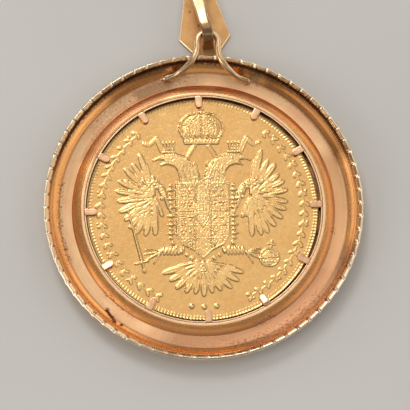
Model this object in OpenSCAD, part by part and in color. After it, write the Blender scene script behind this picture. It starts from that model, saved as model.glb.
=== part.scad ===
// Coin pendant lying on its front, seen from the open back.
// A stepped ring with a notched rim holds a large gold coin. Twelve claws on a thin strip bend
// over the coin. An omega-shaped wire loop on the ring's back carries a kite-shaped bail.
// The origin is the ring's centre on the surface that the pendant lies on, +Y runs to the bail.

/* [Coin] */
// Diameter of the coin
coin_diameter = 39.5; // [39:0.1:39.8]
// Thickness of the coin at its raised edge
coin_thickness = 0.8; // [0.6:0.05:0.9]
// Depth of the coin's field below its edge
field_depth = 0.2; // [0.18:0.01:0.25]
// Turn of the coin's picture against the loop, in degrees
coin_turn = 2.3; // [-10:0.1:10]
// Number of denticles around the coin's edge
denticle_count = 216; // [120:6:240]

/* [Ring] */
// Outer diameter of the ring
ring_diameter = 54.5; // [54:0.1:55]
// Height of the rim above the surface
rim_height = 3.4; // [3.2:0.05:3.4]
// Height of the ledge's inner edge above the surface
ledge_height = 0.55; // [0.5:0.05:0.6]
// Height of the inner edge that stands around the coin
inner_edge_height = 1.3; // [1.25:0.05:1.4]
// Number of notches in the rim
notch_count = 72; // [48:6:96]
// Width of a notch at the surface
notch_width = 0.5; // [0.3:0.05:0.6]

/* [Claws] */
// Number of claws
claw_count = 12; // [6:1:16]
// Width of a claw
claw_width = 1.25; // [1:0.05:1.5]
// Reach of a claw over the coin
claw_reach = 1.6; // [1:0.05:2]
// Thickness of the claws and of their strip
claw_thickness = 0.27; // [0.2:0.01:0.3]
// Turn of the claws against the loop, in degrees
claw_turn = 3.7; // [-10:0.1:10]

/* [Wire loop] */
// Diameter of the wire
wire_diameter = 1.14; // [1:0.02:1.2]
// Radius of the loop's top arc, to the middle of the wire
loop_radius = 1.84; // [1.8:0.01:2.2]
// Distance from the ring's centre to the centre of the loop's top arc
loop_distance = 29.17; // [29:0.01:29.5]
// Height of the wire's middle where it passes over the rim
loop_height = 4.0; // [3.9:0.01:4.1]

/* [Bail] */
// Turn of the bail against the loop, in degrees
bail_lean = 8.3; // [0:0.1:10]
// Width of the plate at its widest line
plate_width = 9; // [7:0.1:10]
// Length of the plate's long upper part
plate_length = 15; // [14:0.1:16]
// Half the angle between the plate's two lower edges
plate_lower_angle = 39; // [35:1:45]
// Thickness of the plate
plate_thickness = 0.6; // [0.5:0.05:0.7]
// Thickness of the strap
strap_thickness = 0.5; // [0.4:0.01:0.5]
// Width of the strap where it bends around the wire
strap_width = 1.8; // [1.6:0.02:1.86]

/* [Hidden] */

// Clearances between the pieces
hairline = 0.03;
coin_bed_gap = 0.02;

// Colours, as the photo shows them
rose_gold = [0.83, 0.58, 0.40];
light_gold = [0.88, 0.70, 0.52];
coin_gold = [0.84, 0.70, 0.43];
bail_gold = [0.80, 0.62, 0.42];

// Radii of the ring's steps, from the coin outwards
ring_r = ring_diameter / 2;
coin_r = coin_diameter / 2;
strip_in_r = coin_r + 0.3;
strip_out_r = strip_in_r + claw_thickness;
bore_r = strip_out_r + hairline;
edge_out_r = bore_r + 0.5;
ledge_in_r = 22.46;
ledge_out_r = 24.67;
wall_out_r = 26.0;
lip_in_r = coin_r - 0.55;

// Heights of the ring's steps
lip_bottom = 0.1;
lip_top = 0.28;
ledge_rise = 0.4;
wall_top = 2.05;
coin_bottom = lip_top + coin_bed_gap;
coin_top = coin_bottom + coin_thickness;
field_top = coin_top - field_depth;
front_field_depth = 0.1;
coin_shift = [-0.16, -0.10];

// The rim: a groove, a steep notched band and a nearly flat top
band_foot_r = wall_out_r + 0.25;
top_in_r = ring_r - 0.47;
top_fall = 0.1;
groove_depth = 0.18;
sheet = 0.5;

function on_circle(r, a) = [r * cos(a), r * sin(a)];

// Ring with the notched rim

// Cross-section of the ring: the back from the coin outwards, then the front back inwards
ring_profile = [
    [bore_r, lip_top],
    [bore_r, inner_edge_height - 0.06],
    [bore_r + 0.06, inner_edge_height],
    [edge_out_r, inner_edge_height],
    [ledge_in_r, ledge_height],
    [ledge_out_r, ledge_height + ledge_rise],
    [wall_out_r, wall_top],
    [(wall_out_r + band_foot_r) / 2, wall_top - groove_depth],
    [band_foot_r, wall_top + 0.05],
    [top_in_r, rim_height],
    [ring_r, rim_height - top_fall],
    [ring_r, rim_height - top_fall - 0.2],
    [band_foot_r + sheet, wall_top - 0.1],
    [wall_out_r + sheet, wall_top - sheet],
    [ledge_out_r + 0.3, ledge_height + ledge_rise - sheet],
    [ledge_in_r + 1.2, 0],
    [ledge_in_r, 0],
    [ledge_in_r - 0.5, lip_bottom],
    [lip_in_r + 0.05, lip_bottom],
    [lip_in_r, lip_bottom + 0.05],
    [lip_in_r, lip_top],
];

// Slope of the rim band, which the notches follow
band_angle = atan2(rim_height - wall_top - 0.05, top_in_r - band_foot_r);
band_length = norm([top_in_r - band_foot_r, rim_height - wall_top - 0.05]);
notch_bar = notch_width / sqrt(2);

// A square bar lying on its edge along the band, which cuts one notch
module notch_cutter() {
    translate([band_foot_r, 0, wall_top + 0.05])
        rotate([0, -band_angle, 0])
            rotate([45, 0, 0])
                translate([0, -notch_bar / 2, -notch_bar / 2])
                    cube([band_length + 0.6, notch_bar, notch_bar]);
}

module notched_ring() {
    difference() {
        rotate_extrude($fn = 180) polygon(ring_profile);
        for (i = [0 : notch_count - 1])
            rotate([0, 0, 360 * (i + 0.5) / notch_count]) notch_cutter();
    }
}

// Omega-shaped wire

wire_r = wire_diameter / 2;
wire_sides = 14;

// Places that the right leg passes, from the loop's straight side to its end on the ledge
leg_places = [
    [loop_radius, loop_distance, loop_height],
    [loop_radius + 0.02, loop_distance - 1.2, loop_height],
    [loop_radius + 0.2, loop_distance - 2.2, loop_height],
    [loop_radius + 0.65, loop_distance - 3.2, loop_height - 0.1],
    [loop_radius + 1.4, loop_distance - 4.1, loop_height - 0.5],
    [loop_radius + 2.5, loop_distance - 4.95, loop_height - 1.2],
    [loop_radius + 3.8, loop_distance - 5.6, loop_height - 2.05],
    [7.5, 23.2, ledge_height + 0.3 + wire_r - 0.06],
];

// A smooth curve through the places
function between(p, i) =
    let (a = p[max(i - 1, 0)], b = p[i], c = p[i + 1], d = p[min(i + 2, len(p) - 1)])
    [for (t = [0 : 0.25 : 0.75])
        0.5 * (2 * b + (c - a) * t + (2 * a - 5 * b + 4 * c - d) * t * t
            + (3 * b - a - 3 * c + d) * t * t * t)];
function smooth(p) = concat([for (i = [0 : len(p) - 2]) each between(p, i)], [p[len(p) - 1]]);
function mirrored(p) = [for (i = [len(p) - 1 : -1 : 0]) [-p[i][0], p[i][1], p[i][2]]];

right_leg = smooth(leg_places);
top_arc = [for (a = [165 : -15 : 15])
    [loop_radius * cos(a), loop_distance + loop_radius * sin(a), loop_height]];
wire_path = concat(mirrored(right_leg), top_arc, right_leg);

function unit(v) = v / norm(v);
function wire_ring(path, i) =
    let (
        last = len(path) - 1,
        along = unit(path[min(i + 1, last)] - path[max(i - 1, 0)]),
        side = unit(cross(along, [0, 0, 1])),
        up = cross(side, along)
    )
    [for (k = [0 : wire_sides - 1])
        let (a = 360 * k / wire_sides) path[i] + wire_r * (cos(a) * side + sin(a) * up)];

module wire_loop() {
    n = wire_sides;
    rings = len(wire_path);
    points = [for (i = [0 : rings - 1]) each wire_ring(wire_path, i)];
    sides = [for (i = [0 : rings - 2], k = [0 : n - 1])
        each [
            [i * n + k, i * n + (k + 1) % n, (i + 1) * n + (k + 1) % n],
            [i * n + k, (i + 1) * n + (k + 1) % n, (i + 1) * n + k],
        ]];
    first_end = [for (k = [n - 1 : -1 : 0]) k];
    last_end = [for (k = [0 : n - 1]) (rings - 1) * n + k];
    polyhedron(points, concat(sides, [first_end, last_end]), convexity = 6);
}

// Drops of solder at the wire's two ends
module solder_drops() {
    for (side = [-1, 1])
        translate([side * 6.6, 23.6, ledge_height + 0.3]) sphere(r = 0.75, $fn = 32);
}

module frame() {
    color(rose_gold) {
        notched_ring();
        wire_loop();
        solder_drops();
    }
}

// Strip with the claws

// A claw is a flat tongue with a round tip, which lies just above the coin
module claw() {
    tip = coin_r - claw_reach;
    half = claw_width / 2;
    translate([0, 0, coin_top + coin_bed_gap])
        linear_extrude(claw_thickness) {
            translate([tip + half, -half]) square([strip_out_r - tip - half, claw_width]);
            translate([tip + half, 0]) circle(r = half, $fn = 32);
        }
}

module claw_ring() {
    strip_height = inner_edge_height - coin_bottom;
    color(light_gold) {
        rotate_extrude($fn = 180)
            translate([strip_in_r, coin_bottom]) square([claw_thickness, strip_height]);
        for (i = [0 : claw_count - 1])
            rotate([0, 0, 360 * i / claw_count + claw_turn]) claw();
    }
}

// Relief on the coin, drawn with +Y to the crown

// Radii of the raised edge, of the denticles and of the band of leaves
edge_in_r = coin_r - 0.25;
denticle_in_r = coin_r - 0.85;
leaf_r = 17.35;

// Heights of the relief's layers above the field
low_relief = 0.08;
middle_relief = 0.13;
high_relief = 0.18;

// Wing feathers: direction from the wing's root and reach
wing_root = [8.2, 2.2];
feather_reach = [[-96, 6.9], [-79, 7.4], [-59, 7.2], [-32, 6.8], [-4, 6.5], [23, 6.6], [50, 7.5],
    [70, 8.5]];

// Tail feathers: direction from the tail's root and reach
tail_root = [0, -9.4];
tail_reach = [[-90, 6.0], [-60, 6.2], [-40, 6.9], [-16, 7.4]];

// Outline of one head with its neck and beak, seen as the right one
head_outline = [
    [0.3, 4.0], [0.5, 6.6], [1.7, 8.7], [3.3, 10.2], [4.9, 10.7], [6.1, 10.4], [7.1, 9.8],
    [7.9, 8.9], [7.0, 9.1], [6.3, 9.1], [6.9, 8.3], [5.8, 8.5], [4.9, 8.3], [4.1, 7.4],
    [3.9, 6.2], [4.1, 4.0],
];
// Outline of the shield's right half
shield_outline = [[0, 4.6], [4.4, 4.6], [4.4, -4.6], [3.4, -6.3], [1.4, -7.3], [0, -8.7]];
// Outline of one leg and its claw, seen as the right one
leg_outline = [
    [3.6, -6.6], [6.4, -6.4], [9.0, -7.2], [9.9, -8.0], [9.3, -8.2], [9.9, -9.3], [8.7, -8.4],
    [8.2, -9.6], [7.6, -8.4], [5.6, -7.9], [3.0, -8.6],
];
// Outline of one of the crown's ribbons, seen as the right one
ribbon_outline = [
    [1.6, 11.2], [2.2, 12.1], [3.4, 10.9], [6.4, 11.1], [8.0, 13.3], [9.9, 12.1], [8.3, 12.0],
    [7.0, 10.3], [3.2, 10.1],
];
sword_hilt = [-10.4, -9.4];
sword_angle = 104;
sword_length = 10.5;
orb_place = [11.3, -8.8];
orb_r = 1.75;

module both_sides() {
    children();
    mirror([1, 0, 0]) children();
}

// A pointed leaf along +X
module leaf(length, width) {
    stations = [0, 0.12, 0.35, 0.6, 0.82, 0.94];
    widths = [0.3, 0.75, 1, 0.95, 0.65, 0.35];
    upper = [for (i = [0 : 5]) [length * stations[i], width * widths[i] / 2]];
    lower = [for (i = [5 : -1 : 0]) [length * stations[i], -width * widths[i] / 2]];
    polygon(concat(upper, [[length, 0]], lower));
}

module fan(root, reach, first, last, count, inner, width) {
    for (i = [0 : count - 1]) {
        angle = first + (last - first) * i / (count - 1);
        translate(root) rotate(angle) translate([inner, 0])
            leaf(lookup(angle, reach) - inner, width);
    }
}

module denticle_ring() {
    step = 360 / denticle_count;
    difference() {
        circle(r = edge_in_r + 0.05, $fn = 180);
        polygon([for (i = [0 : denticle_count - 1], part = [0 : 3])
            on_circle(part == 1 || part == 2 ? edge_in_r - 0.1 : denticle_in_r,
                step * (i + [0.02, 0.12, 0.48, 0.58][part]))]);
    }
}

module leaf_band() {
    for (side = [-1, 1], i = [0 : 19]) {
        angle = 90 + side * (38 + 6 * i);
        rotate(angle) translate([leaf_r, 0]) {
            rotate(side * (i % 2 == 0 ? 62 : 118)) translate([-0.8, 0]) leaf(1.6, 0.6);
        }
    }
    for (i = [-1 : 1])
        rotate(-90 + 7 * i) translate([leaf_r, 0]) circle(r = 0.42, $fn = 24);
}

module great_crown() {
    translate([-3.0, 11.7]) square([6.0, 1.2]);
    translate([0, 14.5]) circle(r = 2.6, $fn = 48);
    both_sides() {
        polygon([[1.2, 12.6], [3.0, 12.6], [3.8, 14.2], [3.3, 16.2], [1.6, 17.1], [0.7, 15.5]]);
        translate([4.1, 14.0]) circle(r = 0.35, $fn = 24);
    }
    translate([-0.25, 16.6]) square([0.5, 1.5]);
    translate([-0.65, 17.2]) square([1.3, 0.4]);
}

module small_crown() {
    translate([3.9, 11.0]) polygon([
        [0, 0], [2.3, 0], [2.9, 1.7], [2.1, 1.1], [1.7, 2.0], [1.15, 1.2], [0.6, 2.0], [0.2, 1.1],
        [-0.6, 1.7],
    ]);
}

module collar_beads() {
    for (i = [0 : 9])
        translate([5.35, 3.9 - 1.05 * i]) circle(r = 0.42, $fn = 24);
    for (i = [0 : 3])
        translate([4.6 - 1.1 * i, -6.6 - 0.7 * i]) circle(r = 0.42, $fn = 24);
}

module orb_and_sword() {
    translate(orb_place) {
        circle(r = orb_r, $fn = 48);
        translate([0.1, 1.6]) square([0.35, 1.6]);
        translate([-0.35, 2.3]) square([1.25, 0.35]);
    }
    translate(sword_hilt) rotate(sword_angle) {
        translate([-1.2, -0.2]) square([1.4, 0.4]);
        translate([0, -1.1]) square([0.4, 2.2]);
        polygon([[0, -0.32], [sword_length - 1, -0.25], [sword_length, 0],
            [sword_length - 1, 0.25], [0, 0.32]]);
    }
}

module low_layer() {
    leaf_band();
    both_sides() {
        fan(wing_root, feather_reach, -96, 70, 14, 2.2, 1.15);
        fan(tail_root, tail_reach, -90, -16, 6, 0.5, 1.5);
        polygon(ribbon_outline);
        polygon(leg_outline);
        polygon([[3.8, 2.5], [6.4, 0.2], [8.6, 2.9], [7.2, 5.9], [8.2, 7.2], [9.4, 6.0], [9.4, 0.5],
            [7.6, -2.0], [4.2, -3.2]]);
    }
    orb_and_sword();
}

module middle_layer() {
    both_sides() {
        fan(wing_root, [[-96, 4.4], [76, 4.4]], -90, 70, 9, 0.6, 1.1);
        collar_beads();
        small_crown();
        polygon(head_outline);
    }
    great_crown();
}

module high_layer() {
    both_sides() difference() {
        polygon(shield_outline);
        translate([0.35, 1.2]) square([3.6, 3.0]);
        translate([0.35, -2.7]) square([3.6, 3.3]);
        polygon([[0, -3.3], [3.9, -3.3], [3.9, -4.6], [3.0, -5.9], [1.2, -6.8], [0, -7.9]]);
    }
    polygon([[-0.9, 3.9], [0.9, 3.9], [0.9, -3.6], [0, -5.4], [-0.9, -3.6]]);
}

module relief(height) {
    translate([0, 0, field_top - 0.05]) linear_extrude(height + 0.05) children();
}

module coin() {
    color(coin_gold)
        translate(concat(coin_shift, [0])) rotate([0, 0, coin_turn]) {
            difference() {
                translate([0, 0, coin_bottom]) cylinder(r = coin_r, h = coin_thickness, $fn = 180);
                translate([0, 0, field_top]) cylinder(r = edge_in_r, h = 1, $fn = 180);
                translate([0, 0, coin_bottom - 1])
                    cylinder(r = edge_in_r - 0.4, h = 1 + front_field_depth, $fn = 180);
            }
            relief(field_depth - 0.02) denticle_ring();
            relief(low_relief) low_layer();
            relief(middle_relief) middle_layer();
            relief(high_relief) high_layer();
        }
}

// Bail, drawn with +Y running from the wire to the fold

hinge_y = loop_distance + loop_radius;
bend_in_r = 1.25;
bend_out_r = bend_in_r + strap_thickness;
plate_offset = -0.45;
widest_y = 0.35;
fold_out_r = 1.5;
fold_in_r = fold_out_r - strap_thickness;
fold_y = widest_y + plate_length - fold_out_r;
fold_half_width = 1.4;
fold_end_angle = 60;
tip_half_width = 0.7;
tip_y = widest_y - (plate_width / 2 - tip_half_width) / tan(plate_lower_angle);
plate_edge = 0.2;

plate_corners = [
    [-fold_half_width, fold_y],
    [-plate_width / 2, widest_y],
    [-tip_half_width, tip_y],
    [tip_half_width, tip_y],
    [plate_width / 2, widest_y],
    [fold_half_width, fold_y],
];

// The flat plate, with its back edges cut at 45 degrees
module plate() {
    difference() {
        linear_extrude(plate_thickness) polygon(plate_corners);
        for (i = [0 : len(plate_corners) - 2]) {
            from = plate_corners[i];
            step = plate_corners[i + 1] - from;
            translate([from[0], from[1], plate_thickness])
                rotate([0, 0, atan2(step[1], step[0])])
                    rotate([45, 0, 0])
                        translate([-0.3, -plate_edge / sqrt(2), -plate_edge / sqrt(2)])
                            cube([norm(step) + 0.6, plate_edge * sqrt(2), plate_edge * sqrt(2)]);
        }
    }
}

// Middle line of the strap between the bend and the fold, as a curve with four handles
bend_mid_r = (bend_in_r + bend_out_r) / 2;
fold_mid_r = (fold_in_r + fold_out_r) / 2;
strap_start = [0, loop_height + bend_mid_r];
strap_end = [fold_y + fold_mid_r * cos(fold_end_angle),
    fold_out_r + fold_mid_r * sin(fold_end_angle)];
strap_handles = [
    strap_start,
    strap_start + [6, 0.8],
    strap_end + 4.5 * [-sin(fold_end_angle), cos(fold_end_angle)],
    strap_end,
];
function curve_point(h, t) = h[0] * pow(1 - t, 3) + 3 * h[1] * t * pow(1 - t, 2)
    + 3 * h[2] * t * t * (1 - t) + h[3] * pow(t, 3);
function curve_normal(h, t) =
    let (d = curve_point(h, t + 0.01) - curve_point(h, t - 0.01)) [-d[1], d[0]] / norm(d);
function curve_side(h, offset) =
    [for (i = [0 : 14]) curve_point(h, i / 14) + offset * curve_normal(h, i / 14)];
function reversed(p) = [for (i = [len(p) - 1 : -1 : 0]) p[i]];

// Side view of the strap: up from the plate, around the wire, over to the fold and back
module strap_side() {
    translate([-bend_out_r, plate_thickness - 0.1])
        square([strap_thickness, loop_height - plate_thickness + 0.1]);
    translate([0, loop_height]) intersection() {
        difference() {
            circle(r = bend_out_r, $fn = 64);
            circle(r = bend_in_r, $fn = 64);
        }
        translate([-2, 0]) square([2.02, 2]);
    }
    polygon(concat(
        curve_side(strap_handles, strap_thickness / 2),
        reversed(curve_side(strap_handles, -strap_thickness / 2))
    ));
    translate([fold_y, fold_out_r]) difference() {
        circle(r = fold_out_r, $fn = 64);
        circle(r = fold_in_r, $fn = 64);
        polygon([[0, -2], [-2, -2], [-2, 2], 4 * [cos(fold_end_angle + 2), sin(fold_end_angle + 2)],
            [0, 0]]);
    }
}

// Middle and half width of the strap from above: it leans to one side and widens to the fold
strap_stations = [
    [-2, -0.05, strap_width / 2],
    [0, -0.25, strap_width / 2],
    [1.5, -0.6, strap_width / 2],
    [6, -0.95, strap_width / 2 + 0.15],
    [fold_y, plate_offset, fold_half_width],
    [fold_y + 2, plate_offset, fold_half_width],
];

module strap_outline() {
    polygon(concat(
        [for (s = strap_stations) [s[1] + s[2], s[0]]],
        reversed([for (s = strap_stations) [s[1] - s[2], s[0]]])
    ));
}

module strap() {
    intersection() {
        rotate([90, 0, 90]) linear_extrude(8, center = true) strap_side();
        linear_extrude(8) strap_outline();
    }
}

module bail() {
    color(bail_gold)
        translate([0, hinge_y, 0]) rotate([0, 0, bail_lean]) {
            translate([plate_offset, 0, 0]) plate();
            strap();
        }
}

frame();
claw_ring();
coin();
bail();
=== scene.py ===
# %% [markdown]
# # A coin pendant, seen from its open back
# The pendant lies on its front. A ring of sheet gold, pressed into steps and notched along its
# rim, holds a large thin coin. Twelve claws on a narrow strip bend over the coin. A wire loop on
# the back of the ring carries a kite-shaped bail, which swings on it.
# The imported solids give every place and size. This lesson dresses them: each piece is built again
# as a fine mesh that follows the solid it stands for, and gets a finish of its own.

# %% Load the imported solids
import math

import bmesh
import bpy
import numpy as np
from mathutils import Matrix, Vector


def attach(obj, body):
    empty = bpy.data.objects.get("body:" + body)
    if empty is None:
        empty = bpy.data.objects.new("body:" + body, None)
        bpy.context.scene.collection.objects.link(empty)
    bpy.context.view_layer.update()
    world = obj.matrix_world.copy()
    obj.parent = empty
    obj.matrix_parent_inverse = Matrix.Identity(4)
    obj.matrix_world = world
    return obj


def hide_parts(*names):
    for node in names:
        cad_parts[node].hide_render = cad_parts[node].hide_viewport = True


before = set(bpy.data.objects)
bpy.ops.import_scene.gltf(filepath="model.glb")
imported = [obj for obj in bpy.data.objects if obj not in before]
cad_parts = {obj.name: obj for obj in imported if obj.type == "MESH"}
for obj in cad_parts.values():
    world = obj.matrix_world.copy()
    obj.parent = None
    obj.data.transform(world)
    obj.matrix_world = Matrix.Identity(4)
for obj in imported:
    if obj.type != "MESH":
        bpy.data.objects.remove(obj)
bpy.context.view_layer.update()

MM = 0.001

# %% [markdown]
# ## The view
# The picture looks as if it was taken through a long lens, tilted 18 degrees from straight above
# towards the lower edge of the frame. It doesn't tell how far away the camera was, so half a metre
# is assumed, and the tilt, the lean, the lens and its small shift are those that then fit the
# rim's outline. The camera is placed from these numbers instead of being moved by hand, so that
# they say how the object is seen. It looks at a point 1.3 mm above the surface, on the ring's axis.

# %% Camera
TILT, LEAN, ROLL = math.radians(17.8), math.radians(-1.1), math.radians(1.3)
DISTANCE, LOOK_HEIGHT = 0.5, 1.3 * MM
LENS_MM, SENSOR_MM = 257.7, 36.0
PICTURE_WIDTH, SHIFT_X, SHIFT_Y = 410, 1.4, 2.8


def turned(vector):
    """The vector turned with the object's small roll in the picture."""
    x, y, z = vector
    return Vector((x * math.cos(ROLL) - y * math.sin(ROLL),
                   x * math.sin(ROLL) + y * math.cos(ROLL), z))


def add_camera():
    toward = Vector((math.sin(LEAN), -math.sin(TILT) * math.cos(LEAN),
                     math.cos(TILT) * math.cos(LEAN))).normalized()
    right = Vector((0, 1, 0)).cross(toward).normalized()
    up = toward.cross(right)
    toward, right, up = turned(toward), turned(right), turned(up)
    data = bpy.data.cameras.new("camera")
    data.lens, data.sensor_width = LENS_MM, SENSOR_MM
    data.shift_x, data.shift_y = SHIFT_X / PICTURE_WIDTH, SHIFT_Y / PICTURE_WIDTH
    camera = bpy.data.objects.new("camera", data)
    bpy.context.scene.collection.objects.link(camera)
    place = Vector((0, 0, LOOK_HEIGHT)) + DISTANCE * toward
    camera.matrix_world = Matrix((
        (right.x, up.x, toward.x, place.x),
        (right.y, up.y, toward.y, place.y),
        (right.z, up.z, toward.z, place.z),
        (0, 0, 0, 1)))
    bpy.context.scene.camera = camera
    return camera


camera = add_camera()
print("camera at", [round(v, 3) for v in camera.matrix_world.translation])

# %% [markdown]
# ## Helpers for meshes and materials
# Metal shows its shape by what it mirrors, so the meshes have finely rounded edges and the
# materials are small trees of noise, colour ramps and bumps. Short helpers keep these trees
# readable: they add a node, make a colour from the values that an eye reads off a screen, mix
# colours and sums, and make a mesh object from points and faces.

# %% Helpers


def screen_colour(red, green, blue):
    """A linear colour from 0 to 255 values as a screen shows them."""
    def linear(value):
        value = value / 255
        return value / 12.92 if value <= 0.04045 else ((value + 0.055) / 1.055) ** 2.4
    return (linear(red), linear(green), linear(blue), 1.0)


def grey(value):
    return (value, value, value, 1.0)


def set_input(tree, socket, value):
    """Links a node's output to a socket, or sets the socket to a plain value."""
    if isinstance(value, bpy.types.NodeSocket):
        tree.links.new(value, socket)
    else:
        socket.default_value = value


def add(tree, kind, inputs=None, **settings):
    """A new node; inputs are outputs to link or values to set, by the socket's name or number."""
    node = tree.nodes.new(kind)
    for key, value in settings.items():
        setattr(node, key, value)
    for key, value in (inputs or {}).items():
        set_input(tree, node.inputs[key], value)
    return node


def maths(tree, operation, a, b=0.0, clamp=False):
    return add(tree, "ShaderNodeMath", {0: a, 1: b}, operation=operation, use_clamp=clamp).outputs[0]


def vectors(tree, operation, *values):
    """Vector arithmetic, which gives a number for a length, distance or product, else a vector."""
    keys = (0, "Scale") if operation == "SCALE" else (0, 1)
    node = add(tree, "ShaderNodeVectorMath", dict(zip(keys, values)), operation=operation)
    return node.outputs["Value" if operation in ("LENGTH", "DISTANCE", "DOT_PRODUCT") else "Vector"]


def weighted(tree, total, *parts):
    """The total plus each part times its weight."""
    for value, weight in parts:
        total = maths(tree, "ADD", total, maths(tree, "MULTIPLY", value, weight))
    return total


def noise(tree, place, scale, detail=2.0, roughness=0.5):
    return add(tree, "ShaderNodeTexNoise", {"Vector": place, "Scale": scale, "Detail": detail,
                                            "Roughness": roughness}).outputs[0]


def ramp(tree, value, stops):
    """A colour ramp; stops are (place, colour)."""
    node = add(tree, "ShaderNodeValToRGB", {0: value})
    elements = node.color_ramp.elements
    while len(elements) < len(stops):
        elements.new(0.5)
    for element, (place, colour) in zip(elements, stops):
        element.position = place
        element.color = colour
    return node.outputs[0]


def fade_in(tree, value, first, last):
    """0 up to the first value, 1 from the last one on, and evenly rising between."""
    return ramp(tree, value, [(first, grey(0.0)), (last, grey(1.0))])


def mix_colours(tree, amount, a, b, blend="MIX"):
    return add(tree, "ShaderNodeMix", {0: amount, 6: a, 7: b}, data_type="RGBA", blend_type=blend).outputs[2]


def tinted(tree, colour, mask, amount, stain):
    """The colour with a stain, given as a screen shows it, by the amount where the mask is 1."""
    return mix_colours(tree, maths(tree, "MULTIPLY", mask, amount), colour, screen_colour(*stain))


def dimmed(tree, colour, shade):
    """The colour times a shade of grey."""
    plain = add(tree, "ShaderNodeCombineColor", {0: shade, 1: shade, 2: shade}).outputs[0]
    return mix_colours(tree, 1.0, colour, plain, "MULTIPLY")


def new_material(name):
    """A material with an empty tree, its shader and the place in millimetres."""
    material = bpy.data.materials.new(name)
    material.use_nodes = True
    tree = material.node_tree
    shader = tree.nodes["Principled BSDF"]
    shader.inputs["Metallic"].default_value = 1.0
    here = add(tree, "ShaderNodeTexCoord").outputs["Object"]
    return material, tree, shader, vectors(tree, "SCALE", here, 1 / MM)


def finish_shader(tree, shader, colour, roughness, height=None, depth_mm=0.0, strength=0.0):
    """Sets the shader's colour and roughness, and a bump where a height is given."""
    set_input(tree, shader.inputs["Base Color"], colour)
    set_input(tree, shader.inputs["Roughness"], roughness)
    if height is not None:
        bump = add(tree, "ShaderNodeBump", {"Strength": strength, "Distance": depth_mm * MM,
                                            "Height": height})
        tree.links.new(bump.outputs[0], shader.inputs["Normal"])


def make_object(name, points, faces, material=None, smooth=True):
    """A mesh object from points in millimetres."""
    mesh = bpy.data.meshes.new(name)
    mesh.from_pydata([tuple(float(v) * MM for v in p) for p in points], [], faces)
    if smooth:
        mesh.polygons.foreach_set("use_smooth", [True] * len(mesh.polygons))
    mesh.update()
    if material is not None:
        mesh.materials.append(material)
    thing = bpy.data.objects.new(name, mesh)
    bpy.context.scene.collection.objects.link(thing)
    return thing


def sleeve(rings, sides, closed=False):
    """Faces between rings of points that follow each other; closed joins the last to the first."""
    return [(i * sides + k, i * sides + (k + 1) % sides,
             (i + 1) % rings * sides + (k + 1) % sides, (i + 1) % rings * sides + k)
            for i in range(rings if closed else rings - 1) for k in range(sides)]


def turn_outwards(thing):
    """Merges doubles and turns every face of a closed shape outwards."""
    work = bmesh.new()
    work.from_mesh(thing.data)
    bmesh.ops.remove_doubles(work, verts=work.verts, dist=1e-7)
    bmesh.ops.recalc_face_normals(work, faces=work.faces)
    work.to_mesh(thing.data)
    work.free()
    thing.data.update()
    return thing


def keep_result(thing):
    """Makes what the modifiers show the piece's own plain mesh, and removes them."""
    view = bpy.context.evaluated_depsgraph_get()
    mesh = bpy.data.meshes.new_from_object(thing.evaluated_get(view))
    thing.modifiers.clear()
    thing.data = mesh
    mesh.name = thing.name
    return thing


def triangles(thing):
    return sum(len(p.vertices) - 2 for p in thing.data.polygons)

# %% [markdown]
# ## Sizes shared with the solids
# The ring's steps, the claws, the wire and the bail repeat the solids' own numbers, in
# millimetres, so that the dressed pieces stay inside the solids' box. Where a piece departs from its
# solid to look like the picture, its own lesson says so.

# %% Sizes
COIN_R = 19.75
COIN_BOTTOM, COIN_TOP, FIELD_TOP = 0.30, 1.10, 0.90
COIN_SHIFT, COIN_TURN = (-0.16, -0.10), math.radians(2.3)
STRIP_IN_R, STRIP_OUT_R = 20.05, 20.32
BORE_R, EDGE_OUT_R, EDGE_HEIGHT = 20.35, 20.85, 1.3
LEDGE_IN_R, LEDGE_OUT_R, LEDGE_HEIGHT, LEDGE_RISE = 22.46, 24.67, 0.55, 0.4
WALL_OUT_R, WALL_TOP = 26.0, 2.05
RING_R, NOTCHES = 27.25, 72
CLAWS, CLAW_WIDTH, CLAW_REACH, CLAW_THICKNESS = 12, 1.25, 1.6, 0.27
CLAW_TURN = math.radians(3.7)
WIRE_R, LOOP_R, LOOP_Y, LOOP_HEIGHT = 0.57, 1.84, 29.17, 4.0
HINGE_Y, BAIL_LEAN = LOOP_Y + LOOP_R, math.radians(8.3)
print("ring", 2 * RING_R, "mm wide, coin", 2 * COIN_R, "mm wide")

# %% [markdown]
# ## What repeats around the ring
# The rim's notches and the claws repeat around one centre, and a maker would set their spacing with
# a dividing wheel. Here one Geometry Nodes tree does the same: it takes a single slice of the ring
# or a single claw, sets it around the centre and joins the copies. A small random turn and reach,
# with a fixed seed, keeps the hand-bent claws from looking stamped.

# %% The dividing tree
REPEAT_INPUTS = {"Count": "NodeSocketInt", "Start turn": "NodeSocketFloat", "Random turn": "NodeSocketFloat",
                 "Random reach": "NodeSocketFloat", "Seed": "NodeSocketInt",
                 "Join distance": "NodeSocketFloat", "Finish": "NodeSocketMaterial"}


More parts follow.
